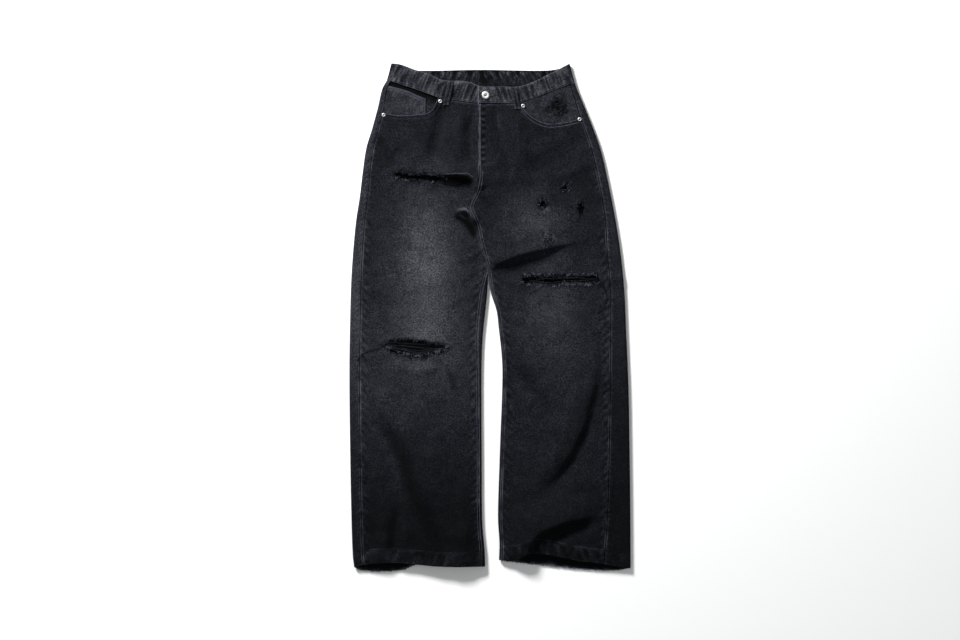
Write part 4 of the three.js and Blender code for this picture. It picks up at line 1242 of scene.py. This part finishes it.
def leftFacingTone(x, y):
    dark = spot(x, y, torn["centre"], torn["half"])
    # painted shade along the fold line, spreading wide on one side; the torn patch is darker of itself
    fold, _, _ = off(torn["fold"], x, y)
    dark = dark + 0.7 * bell(fold, np.where(fold > 0, 22, 4))
    picked = np.clip(0.7 + unevenness(x, y, 4, 144), 0, 1.3)
    return facing[left]["tone"] - 0.07 * np.minimum(dark, 1.2) * picked + 0.02 * unevenness(x, y, 7, 143)


def level(value):
    return lambda along: value + 0 * along


patch(
    ("facingRight", "pocket_facing_right"), right,
    (lambda y: sideSeam[right](y) + seamGap, level(facing[right]["inner"])),
    facingFoot[right], bandFoot, facing[right], rightFacingTone, facingWear,
)
patch(
    ("facingLeft", "pocket_facing_left"), left,
    (level(facing[left]["inner"]), lambda y: sideSeam[left](y) - seamGap),
    facingFoot[left], bandFoot, facing[left], leftFacingTone, facingWear, facingHoles,
)
coin = {
    "sunk": 1.7, "thickness": 1.3, "grid": (48, 44), "slot": "worn_denim", "tone": 0.158, "inner": -132,
    "flat": (0.095, 0.078), "area": 0.0052,
}
coinTop = curve((-212, 480), (-172, 469), (-134, 452.5))


def coinWear(x, y):
    fromTop = coinTop(x) - y
    fromSide = coin["inner"] - x
    height, rub, _ = sewn(np.abs(fromTop), x, seed=150, depth=0.2, ridge=0.5, pucker=0.25, pitch=8)
    second = bell(fromTop - 8, 1.2) + bell(fromSide - 2.5, 1.1)
    second = second + bell(fromSide - 8.5, 1.1)
    uneven = 0.75 + 0.5 * unevenness(x, y, 9, 153)
    return rub * 0.6 + second * 0.36 * uneven + bell(fromTop, 1.1) * 0.42, height - 0.3 * second


patch(
    ("coinPocket", "coin_pocket"), right, (lambda y: sideSeam[right](y) + seamGap, level(coin["inner"])),
    lambda x: facingFoot[right](x) + 8, coinTop, coin,
    lambda x, y: coin["tone"] + 0.035 * unevenness(x, y, 9, 152), coinWear,
)
zipTape = {
    "sunk": 1.8, "thickness": 0.8, "grid": (8, 40), "slot": "zip_tape", "flat": (0.012, 0.116), "tone": 0.07,
    "sides": (-16, -4), "ends": (322, 438),
}
flyShield = {
    "sunk": 3.9, "thickness": 1.3, "grid": (20, 40), "slot": "denim", "flat": (0.058, 0.14), "tone": 0.1,
    "sides": (-36, 22), "ends": (302, 441),
}
for names, look in ((("zipTape", "zip"), zipTape), (("flyShield", "fly_shield"), flyShield)):
    patch(
        names, right, tuple(map(level, look["sides"])), level(look["ends"][0]), level(look["ends"][1]), look,
        lambda x, y: look["tone"] + 0 * x,
    )
print("pockets and fly made")

# belt loops
loop = {"width": 12.0, "thickness": 1.8, "tone": 0.125, "flat": (0.0125, 0.052)}


def frontLoop(names, side, head, foot):
    rows, columns = 40, 13
    v, u = np.linspace(0, 1, rows)[:, None], np.linspace(-1, 1, columns)[None, :]
    y = lerp(foot[1], head[1], v) + 0 * u
    x = lerp(foot[0], head[0], v) + u * loop["width"] / 2
    under = upperFace(side, x, y) + plyGap
    belly = 2.3 * np.sin(np.pi * np.clip((v - 0.14) / 0.72, 0, 1)) ** 0.7
    cord = 0.35 * bell(np.abs(u) - 0.55, 0.2) * (1 + 0.4 * np.sin(2 * np.pi * y / 5.5))
    z = under + loop["thickness"] + belly + cord
    worn = 0.85 * bell(np.abs(u) - 0.94, 0.12) + 0.5 * bell(np.abs(u) - 0.42, 0.12)
    ends = bell(v, 0.06) + bell(1 - v, 0.06)
    worn = worn * (0.6 + 0.4 * unevenness(x, y, 5, 160)) + 0.35 * ends
    tone = loop["tone"] + 0.04 * unevenness(x, y, 4, 161) - 0.06 * bell(u, 0.22)
    ob = clothShell(names, np.stack([x, y, z], 2), loop["thickness"], tone, worn, 0.07)


frontLoop(("loopFrontRight", "belt_loop_front_right"), right, (-80, 489), (-91, 439))
frontLoop(("loopFrontLeft", "belt_loop_front_left"), left, (48, 476), (57, 431))


hiddenPly = 1.15  # thickness of the pieces under the seat


def floorPatch(names, placeOf, rows, columns, tone, flat):
    # a piece under the seat, its outer face down on the floor
    v, u = np.linspace(0, 1, rows)[:, None], np.linspace(0, 1, columns)[None, :]
    x, y = placeOf(u, v)
    edge = np.minimum(np.minimum(u, 1 - u) * flat[0], np.minimum(v, 1 - v) * flat[1]) * 1000
    rub = 0.55 * bell(edge, 1.4) + 0.25 * bell(edge - 8, 1.2)
    z = 0.02 + 0.1 * bell(edge, 0.8) + 0 * x
    shade = tone + 0.01 * unevenness(x, y, 8, 170)
    ob = clothShell(names, np.stack([x, y, z], 2), hiddenPly, shade, rub, 0.08, flip=True)


backLoop = {
    "width": 12, "tone": 0.14, "flat": (0.012, 0.044), "at": {"Right": -140, "Centre": -20, "Left": 102},
}


def backLoopPiece(word, x):
    foot, top = float(bandBackFoot(x)) - 8, float(bandBackTop(x)) - 1
    start = x - backLoop["width"] / 2
    place = lambda u, v: (start + backLoop["width"] * u + 0 * v, lerp(foot, top, v) + 0 * u)
    names = ("loopBack" + word, "belt_loop_back_" + word.lower())
    floorPatch(names, place, 30, 9, backLoop["tone"], backLoop["flat"])


for word, x in backLoop["at"].items():
    backLoopPiece(word, x)

backPocket = {
    "width": 142, "inset": 44, "top": 384, "outerTop": 392, "side": 245, "point": 222, "tone": 0.15,
    "flat": (0.142, 0.17), "area": 0.0212,
}


def backPocketPiece(names, side):
    near = float(backRise(300)) + side * backPocket["inset"]
    far = near + side * backPocket["width"]

    def place(u, v):
        topY = lerp(backPocket["top"], backPocket["outerTop"], u)
        sideY = backPocket["side"]
        footY = np.interp(u, [0, 0.5, 1], [sideY, backPocket["point"], sideY + 4])
        y = lerp(footY, topY, v)
        taper = 7 * np.clip((backPocket["top"] - y) / (backPocket["top"] - sideY), 0, 1)
        x = lerp(near + side * taper, far - side * taper, u)
        return x, y

    ordered = place if side == left else (lambda u, v: place(1 - u, v))
    floorPatch(names, ordered, 60, 52, backPocket["tone"], backPocket["flat"])


backPocketPiece(("backPocketRight", "back_pocket_right"), right)
backPocketPiece(("backPocketLeft", "back_pocket_left"), left)
print("loops and back pockets made")


# threads: many thin tubes in one mesh
def tubes(name, paths, radii, material, slot, sides):
    vertices, quads, tris = [], [], []
    for path, radius in zip(paths, radii):
        path = np.asarray(path, float)
        run = np.gradient(path, axis=0)
        run /= np.maximum(np.linalg.norm(run, axis=1, keepdims=True), 1e-9)
        up = np.where(np.abs(run[:, 2:3]) > 0.9, [[1.0, 0, 0]], [[0, 0, 1.0]])
        across = np.cross(run, up)
        across /= np.linalg.norm(across, axis=1, keepdims=True)
        over = np.cross(across, run)
        start = len(vertices)
        taper = np.ones(len(path))
        taper[-1] = 0.4
        for k in range(len(path)):
            for s in range(sides):
                angle = 2 * math.pi * s / sides
                outward = across[k] * math.cos(angle) + over[k] * math.sin(angle)
                vertices.append(path[k] + radius * taper[k] * outward)
        for k in range(len(path) - 1):
            for s in range(sides):
                a, b = start + k * sides + s, start + k * sides + (s + 1) % sides
                quads.append((a, b, b + sides, a + sides))
        first, final = start, start + (len(path) - 1) * sides
        for s in range(1, sides - 1):
            tris.append((first, first + s + 1, first + s))
            tris.append((final, final + s, final + s + 1))
    ob = meshFrom(name, toMetres(np.array(vertices)), [np.array(quads), np.array(tris)])
    return finishPiece(ob, material, slot, ())


def onCloth(side, x, y, above=0.3):
    return np.stack([x, y, upperFace(side, x, y) + above], -1)


def fray(outline, side, clumps, perClump, reach, seed, upward=0.0, spread=1.6, into=0.66, shift=0.0):
    # broken yarns in clumps round a cut; upward 1 puts them all on its lower edge, -1 on its upper edge;
    # into is the share that points into the cut, and shift moves their roots into it
    rng = np.random.default_rng(seed)
    outline = np.asarray(outline, float)
    centre = outline.mean(axis=0)
    paths, radii = [], []
    for _ in range(clumps):
        root = outline[rng.integers(len(outline))] + rng.normal(0, 0.6, 2)
        above = root[1] > centre[1]
        if upward and (upward < 0) != above:
            continue
        inward = np.array([0.0, -1.0 if above else 1.0])
        root = root + inward * shift
        lean = rng.normal(0, 0.35, 2)
        for _ in range(1 + rng.integers(perClump)):
            start = root + rng.normal(0, spread, 2) * [1.0, 0.4]
            direction = inward * (1 if rng.random() < into else -0.8) + lean + rng.normal(0, 0.35, 2)
            direction /= np.linalg.norm(direction)
            length = reach * (0.3 + rng.random())
            bend = rng.normal(0, 0.6, 2)
            ts = np.linspace(0, 1, 5)[:, None]
            flat = start + direction * (ts - 0.12) * length + bend * ts**2 * length * 0.6
            arch = np.sin(ts[:, 0] * 2.4) * (0.3 + 1.3 * rng.random())
            z = upperFace(side, flat[:, 0], flat[:, 1]) + 0.4 + arch
            paths.append(np.column_stack([flat, z]))
            radii.append(0.2 + 0.2 * rng.random())
    return paths, radii


def ripEdges(outline):
    # upper and lower y of a rip at an x
    outline = np.asarray(outline)
    half = (len(outline) + 2) // 2
    lower, upper = outline[:half], outline[half:][::-1]
    return [lambda x, edge=edge: np.interp(x, edge[:, 0], edge[:, 1]) for edge in (lower, upper)]


def weft(outline, side, count, seed):
    # long crosswise yarns left lying in a rip
    rng = np.random.default_rng(seed)
    low, high = ripEdges(outline)
    x0, x1 = outline[:, 0].min(), outline[:, 0].max()
    paths, radii = [], []
    for k in range(count):
        a = x0 + (x1 - x0) * (0.02 + 0.3 * rng.random() * (k % 2))
        b = x1 - (x1 - x0) * (0.02 + 0.3 * rng.random() * ((k + 1) % 2))
        xs = np.linspace(a, b, 34)
        share = 0.1 + 0.8 * rng.random() + 0.1 * unevenness(xs, xs * 0, 30, seed + k)
        ys = lerp(low(xs), high(xs), np.clip(share, 0.04, 0.96))
        ys = ys + 0.5 * unevenness(xs, xs * 0, 9, seed + k + 40)
        sag = 0.8 * np.sin(np.pi * np.linspace(0, 1, 34)) * (0.3 + rng.random())
        zs = upperFace(side, xs, ys) - 1.0 - sag
        paths.append(np.column_stack([xs, ys, zs]))
        radii.append(0.3 + 0.12 * rng.random())
    return paths, radii


yarns = {key: ([], []) for key in ("pale", "grey", "dark")}


def addYarns(key, made):
    yarns[key][0].extend(made[0])
    yarns[key][1].extend(made[1])


thighRip, kneeRip = rips[right]
longRip = rips[left][0]
frays = []  # the yarns' key, then what fray takes
for outline, side, seed, pale, grey, dark, reach in (
    (thighRip, right, 200, 40, 84, 60, 4),
    (kneeRip, right, 210, 20, 80, 70, 4.5),
    (longRip, left, 220, 16, 60, 70, 4),
):
    frays += [
        ("pale", outline, side, pale, 5, reach * 0.75, seed, 1.0),
        ("grey", outline, side, grey, 5, reach, seed + 1),
        ("dark", outline, side, dark, 5, reach * 1.2, seed + 2),
    ]
frays += [  # rows of tufts: outside both edges of the long rip, and just inside the edges of the other two
    ("pale", longRip, left, 60, 8, 4.0, 224, -1.0, 1.5, 0.15),
    ("pale", longRip, left, 70, 8, 5.5, 225, 1.0, 1.8, 0.15),
    ("grey", longRip, left, 60, 5, 9, 226, 1.0, 2.2, 0.1),
    ("pale", kneeRip, right, 90, 8, 3.6, 215, 1.0, 1.5, 0.6, 5.0),
    ("grey", kneeRip, right, 60, 6, 3.6, 216, -1.0, 1.2, 0.6, 1.0),
    ("pale", thighRip, right, 26, 6, 3.2, 205, -1.0, 1.2, 0.5, 0.5),
]
for k, hole in enumerate(holes):
    frays += [("grey", hole, left, 12, 4, 4.2, 230 + k), ("dark", hole, left, 16, 5, 4.6, 240 + k)]
for k, hole in enumerate(holes[:2] + holes[3:]):
    frays.append(("pale", hole, left, 10, 4, 3.6, 250 + k, 0.0, 2.0, 0.3))
for k, hole in enumerate(facingHoles):
    frays += [("grey", hole, left, 5, 3, 3.2, 270 + k), ("dark", hole, left, 9, 4, 4.0, 260 + k)]
for key, *rest in frays:
    addYarns(key, fray(*rest))
for key, outline, side, count, seed in (
    ("dark", thighRip, right, 6, 300), ("dark", kneeRip, right, 30, 310), ("dark", longRip, left, 12, 320),
    ("grey", kneeRip, right, 9, 330), ("grey", longRip, left, 10, 340),
):
    addYarns(key, weft(outline, side, count, seed))
for side in (right, left):
    # the raw edge of the back hem
    rng = np.random.default_rng(350 + side)
    ends = sorted((float(inner[side](-500)) + side * 4, float(outer[side](-500)) - side * 8))
    for x in rng.uniform(ends[0], ends[1], 420):
        y = float(hemBack[side](x))
        length = 0.8 + 2.6 * rng.random() ** 2
        lean, z = rng.normal(0, 0.8), 2.6 + rng.random()
        middle, tip = (x + lean * 0.4, y - length * 0.4, z + 0.3), (x + lean, y - length, z - 0.5)
        path = [(x, y + 1.5, z), middle, tip]
        addYarns("grey" if rng.random() < 0.5 else "pale", ([path], [0.3 + 0.16 * rng.random()]))
looseThreads = [
    (right, [(-224, -60), (-240, -64), (-257, -69), (-266, -76), (-274, -87)]),
    (left, [(222, 84), (230, 72), (238, 56), (240, 41), (236, 28), (228, 18), (219, 11)]),
    (left, [(96, 62), (88, 55), (80, 52)]),
]
for side, line in looseThreads:
    addYarns("dark", ([onCloth(side, *smoothLine(line, 26), 1.5)], [0.7]))
tubes("frayedEnds", *yarns["pale"], paleThread, "worn_denim", 3)
tubes("wornYarns", *yarns["grey"], greyThread, "worn_denim", 3)
tubes("brokenYarns", *yarns["dark"], darkThread, "denim", 3)
print("frayed yarns made")


# folded edges rubbed pale: a thin cord of cloth along each, and two such cords as painted highlights on fold
# crests
cordWidth = {"short": 0.62, "long": 0.5, "fly": 0.75}
coinSide = -133  # where the coin pocket's inner edge is sewn


def coinEdge(away, count):
    # the coin pocket's top and inner edges, as two lines at a distance inside them
    xs = np.linspace(-206, coinSide - away, count)
    ys = np.linspace(float(coinTop(coinSide)) - away, 424, 20)
    return [(xs, coinTop(xs) - away), (coinSide - away + 0 * ys, ys)]


edgeCords = []
for side in (right, left):
    rimX, rimY = np.array(mouthOutline(side)[1:-2]).T
    edgeCords.append(onCloth(side, rimX, rimY, 0.35))
    if side == left:
        edgeCords.append(onCloth(side, rimX - 1.0, rimY - 6.2, 0.75))
ys = np.linspace(crotch[1] + 6, 312, 120)
edgeCords += [onCloth(left, frontRise(ys) + 1.2, ys, 0.35), onCloth(left, frontRise(ys) + 6.4, ys, 0.5)]
for away in (1.0, 6.4):
    edgeCords += [onCloth(right, x, y, -1.5) for x, y in coinEdge(away, 50)]
xs = np.linspace(-24, 40, 60)
bandTopZ = upperFace(left, xs, bandFrontTop(xs)) + bandLift(xs)
edgeCords.append(np.column_stack([xs, bandFrontTop(xs) - 0.6, bandTopZ + 0.1]))
for side, low in ((right, -480), (left, -40)):
    ys = np.linspace(low, 95, 260)
    for away in (1.4, -3.4):
        edgeCords.append(onCloth(side, inner[side](ys) + side * (inseamInset[side](ys) + away), ys, 0.35))
# painted highlights along the crests of the crotch pucker and of the drop over the thigh rip
for line in (
    [(-68, 220), (-60, 225), (-50, 226), (-42, 219), (-38, 206)],
    [(-90, 296), (-66, 297), (-46, 297), (-35, 290)],
):
    edgeCords.append(onCloth(right, *smoothLine(line, 30), 0.3))
cordWidths = [cordWidth["short"] if len(cord) < 200 else cordWidth["long"] for cord in edgeCords]
tubes("rubbedEdgesAndCrestHighlights", edgeCords, cordWidths, edgeThread, "worn_denim", 6)
flyX = -24.0
flyYs, bandXs, lapYs = np.linspace(314, 441, 70), np.linspace(flyX, -150, 70), np.linspace(440, 478, 30)
lapXs = flyX + 0 * lapYs
bandTopZ = upperFace(right, bandXs, bandFrontTop(bandXs))
flyEdge = [
    onCloth(left, frontRise(flyYs) + 0.9, flyYs, 1.5),
    np.column_stack([bandXs, bandFrontTop(bandXs) - 0.5, bandTopZ + 0.2]),
    np.column_stack([lapXs, lapYs, upperFace(left, lapXs, lapYs) + bandLift(flyX) - 0.3]),
]
flyWidths = [cordWidth[key] for key in ("fly", "long", "fly")]
tubes("rubbedFlyEdge", flyEdge, flyWidths, paleThread, "worn_denim", 6)


# stitches: a short slim bead of thread each
topStitch = {"pitch": 3.3, "length": 2.5, "width": 0.36}
rubbedStitch = {"pitch": 3.1, "length": 1.6, "width": 0.55}
coinStitch = {"pitch": 2.9, "length": 1.8, "width": 0.8}


def stitchRow(side, xs, ys, above, look, lift=0.0, width=None):
    # starts and ends of the stitches along a line on the cloth
    xs, ys = np.broadcast_arrays(np.asarray(xs, float), np.asarray(ys, float))
    points = np.column_stack([xs, ys, upperFace(side, xs, ys) + above + lift])
    step = np.linalg.norm(np.diff(points, axis=0), axis=1)
    along = np.concatenate([[0], np.cumsum(step)])
    centres = np.arange(look["pitch"] / 2, along[-1] - look["pitch"] / 4, look["pitch"])
    starts, ends = centres - look["length"] / 2, centres + look["length"] / 2
    pick = lambda s: np.column_stack([np.interp(s, along, points[:, k]) for k in range(3)])
    return pick(starts), pick(ends), width or look["width"]


beadFaces = [(0, 2, 1), (0, 3, 2), (0, 4, 3), (0, 1, 4), (5, 1, 2), (5, 2, 3), (5, 3, 4), (5, 4, 1)]


def stitching(name, rows, material, slot):
    vertices, tris = [], []
    for starts, ends, width in rows:
        run = ends - starts
        run /= np.maximum(np.linalg.norm(run, axis=1, keepdims=True), 1e-9)
        across = np.cross(run, [0, 0, 1.0])
        across /= np.maximum(np.linalg.norm(across, axis=1, keepdims=True), 1e-9)
        middle = (starts + ends) / 2
        beside, above = across * width, np.array([0, 0, width])
        block = np.stack([starts, middle + beside, middle + above, middle - beside, middle - above, ends], 1)
        base = sum(len(v) for v in vertices)
        vertices.append(block.reshape(-1, 3))
        index = base + np.arange(len(block))[:, None] * 6
        for a, b, c in beadFaces:
            tris.append(np.concatenate([index + a, index + b, index + c], axis=1))
    ob = meshFrom(name, toMetres(np.concatenate(vertices)), [np.concatenate(tris)])
    return finishPiece(ob, material, slot, ())


def bandLine(side, fromX, toX):
    xs = np.linspace(*fromX if side == right else toX, 110)
    return xs, (bandLift(xs) if side == left else 0)


topRows = []
for side in (right, left):
    hemStart = float(inner[side](-480)) + side * 10
    hemEnd = float(sideSeam[side](-480)) - side * 2
    xs = np.linspace(*sorted((hemStart, hemEnd)), 160)
    topRows.append(stitchRow(side, xs, hemFront[side](xs) + 26.5, 1.3, topStitch))
    ys = np.linspace(108, 312, 120)
    for away in (2.2, 7.5):
        if side == left:
            topRows.append(stitchRow(side, frontRise(ys) + away, ys, 0.7, topStitch))
    rimX, rimY = np.array(mouthOutline(side)[1:-2]).T
    for away in (2.2, 8.0):
        topRows.append(stitchRow(side, rimX, rimY - away, 0.7, topStitch))
stitchX, stitchY = smoothLine(flyStitch, 90)
for away in (0.0, 5.5):
    topRows.append(stitchRow(left, stitchX - away, stitchY + away * 0.5, 1.4, topStitch))
ys = np.linspace(318, 441, 80)
topRows.append(stitchRow(left, frontRise(ys) + 3, ys, 1.9, topStitch))
for side in (right, left):
    xs, lift = bandLine(side, (-26, -208), (-21, 168))
    topRows.append(stitchRow(side, xs, bandFrontFoot(xs) + 2.6, 0.4, topStitch, lift))
    topRows.append(stitchRow(side, xs, bandFrontTop(xs) - 2.8, 0.4, topStitch, lift))
stitching("topStitching", topRows, sewingThread, "denim")
# cloth rubbed pale between the stitches
rubbedRows = []
for away in (3.2, 6.2, 9.2):
    rubbedRows += [stitchRow(right, x, y, -1.1, coinStitch) for x, y in coinEdge(away, 60)]
for side in (right, left):
    xs, lift = bandLine(side, (-30, -206), (-18, 166))
    for away in (1.0, 4.4):
        rubbedRows.append(stitchRow(side, xs, bandFrontFoot(xs) + away, 0.7, rubbedStitch, lift))
    rubbedRows.append(stitchRow(side, xs, bandFrontTop(xs) - 4.2, 0.6, rubbedStitch, lift, 0.45))
    rimX, rimY = np.array(mouthOutline(side)[1:-2]).T
    rubbedRows.append(stitchRow(side, rimX, rimY - 4.4, 0.7, {**rubbedStitch, "length": 1.4}, 0.0, 0.34))
stitching("rubbedStitchLines", rubbedRows, paleThread, "worn_denim")
print("stitches made")


# buttonhole: whipped thread round a slit that runs out from under the button
buttonhole = {"centre": (2.0, 459.5), "half": (9.5, 2.0), "turns": 64, "reach": 1.5, "thread": 0.32}
roundSlit = np.linspace(0, 2 * np.pi, 60)
slitX = buttonhole["centre"][0] + buttonhole["half"][0] * np.cos(roundSlit)
slitY = buttonhole["centre"][1] + buttonhole["half"][1] * np.sin(roundSlit)
whipping = []
for turn in np.linspace(0, 1, buttonhole["turns"], endpoint=False):
    rootX, rootY = (float(np.interp(turn, np.linspace(0, 1, 60), values)) for values in (slitX, slitY))
    reach = buttonhole["reach"] if rootY > buttonhole["centre"][1] else -buttonhole["reach"]
    xs, ys = rootX + np.array([0, 0.1, 0.1]), rootY + reach * np.array([0, 0.5, 1])
    whipping.append(np.column_stack([xs, ys, upperFace(left, xs, ys) + bandLift(xs) + [0.35, 0.75, 0.3]]))
tubes("buttonhole", whipping, [buttonhole["thread"]] * len(whipping), sewingThread, "denim", 4)


# metal: turned profiles of radius and height
def turned(name, profile, centre, base, material, nodes=(), segments=48):
    profile = np.asarray(profile, float)
    angles = np.linspace(0, 2 * np.pi, segments, endpoint=False)
    rings = [(r, z) for r, z in profile if r > 0]
    vertices = [(centre[0], centre[1], base + profile[0][1])]
    for r, z in rings:
        for angle in angles:
            vertices.append((centre[0] + r * math.cos(angle), centre[1] + r * math.sin(angle), base + z))
    vertices.append((centre[0], centre[1], base + profile[-1][1]))
    quads, tris = [], []
    for k in range(len(rings) - 1):
        for s in range(segments):
            a, b = 1 + k * segments + s, 1 + k * segments + (s + 1) % segments
            quads.append((a, b, b + segments, a + segments))
    top = len(vertices) - 1
    lastRing = 1 + (len(rings) - 1) * segments
    for s in range(segments):
        tris.append((0, 1 + (s + 1) % segments, 1 + s))
        tris.append((top, lastRing + s, lastRing + (s + 1) % segments))
    ob = meshFrom(name, toMetres(np.array(vertices)), [np.array(quads), np.array(tris)])
    return finishPiece(ob, material, "metal", nodes)


button = {
    "centre": (-9.0, 459.0),
    "shank": [
        (0, -1.6), (2.2, -1.6), (2.2, 0.4), (7.6, 0.4), (8.4, 0.7), (8.7, 1.2), (8.5, 1.6), (7.9, 1.8),
        (0, 1.8),
    ],
    "face": [
        (0, 1.7), (7.1, 1.75), (7.5, 2.1), (7.2, 2.5), (6.2, 2.75), (4.2, 2.7), (2.8, 2.4), (2.2, 2.1),
        (2.0, 1.95), (0, 1.9),
    ],
    "recess": [(0, 1.92), (2.8, 2.0), (2.7, 2.5), (0, 2.5)],
    "pin": [(0, 2.45), (0.7, 2.5), (0.6, 2.7), (0, 2.8)],
}
buttonBase = float(upperFace(left, *button["centre"])) + float(bandLift(button["centre"][0])) + 0.3
for name, part, material, nodes, segments in (
    ("button", "shank", rimShadeMetal, ["button"], 48), ("buttonFace", "face", nickel, [], 48),
    ("buttonRecess", "recess", recessShadeMetal, [], 32), ("buttonPin", "pin", nickel, [], 24),
):
    turned(name, button[part], button["centre"], buttonBase, material, nodes, segments)
rivet = {
    "cap": [
        (0, -1.0), (1.2, -1.0), (1.2, 0), (3.6, 0), (3.9, 0.3), (3.95, 0.7), (3.7, 1.1), (3.3, 1.45),
        (2.7, 1.7), (2.3, 1.6), (2.0, 1.2), (1.8, 0.9), (0, 0.85),
    ],
    "eye": [(0, 0.86), (1.9, 0.95), (1.8, 1.35), (0, 1.4)],
    "at": {
        ("Right", "Side"): (-219, 419), ("Right", "Loop"): (-102.5, 447),
        ("Left", "Loop"): (68, 437.5), ("Left", "Side"): (184.5, 410),
    },
}
for (word, place), centre in rivet["at"].items():
    name, node = f"rivet{word}{place}", f"rivet_{word.lower()}_{place.lower()}"
    base = float(upperFace(right if word == "Right" else left, *centre)) + 0.3
    turned(name, rivet["cap"], centre, base, nickel, [node], 32)
    turned(name + "Eye", rivet["eye"], centre, base, recessShadeMetal, [], 20)
print("metal made")

# floor, light and camera
stage = {"floorSize": 9.0, "floorColour": 0.84, "soft": 0.30, "key": 300.0, "fill": 16.0}
bpy.ops.mesh.primitive_plane_add(size=stage["floorSize"], location=(0, 0, 0))
floor = bpy.context.object
floor.name = "floor"
floorLook = {"Base Color": (stage["floorColour"],) * 3 + (1,), "Roughness": 0.9, "Specular IOR Level": 0.1}
floor.data.materials.append(Shader("paleFloor").finish(floorLook))


def areaLight(name, place, size, watts):
    # a square light that faces the middle of the floor
    light = bpy.data.lights.new(name, "AREA")
    light.shape, light.size, light.energy = "SQUARE", size, watts
    ob = bpy.data.objects.new(name, light)
    ob.location = place
    spin, tilt = math.atan2(place[1], place[0]), math.acos(place[2] / np.linalg.norm(place))
    ob.rotation_euler = (0, tilt, spin)
    bpy.context.scene.collection.objects.link(ob)


areaLight("keyLight", (-1.75, 2.6, 1.95), 0.8, stage["key"])
areaLight("fillLight", (0.8, -0.6, 3.4), 2.0, stage["fill"])
world = bpy.data.worlds.new("softRoom")
world.use_nodes = True
background = world.node_tree.nodes["Background"]
background.inputs["Color"].default_value = (0.97, 0.985, 1.0, 1)
background.inputs["Strength"].default_value = stage["soft"]
bpy.context.scene.world = world
bpy.context.scene.view_settings.view_transform = "Standard"

camera = bpy.data.cameras.new("camera")
camera.lens, camera.sensor_width = 85, 36
cameraOb = bpy.data.objects.new("camera", camera)
cameraOb.location = (-0.0206, -0.0062, 4.68)
bpy.context.scene.collection.objects.link(cameraOb)
bpy.context.scene.camera = cameraOb

print("stage made")
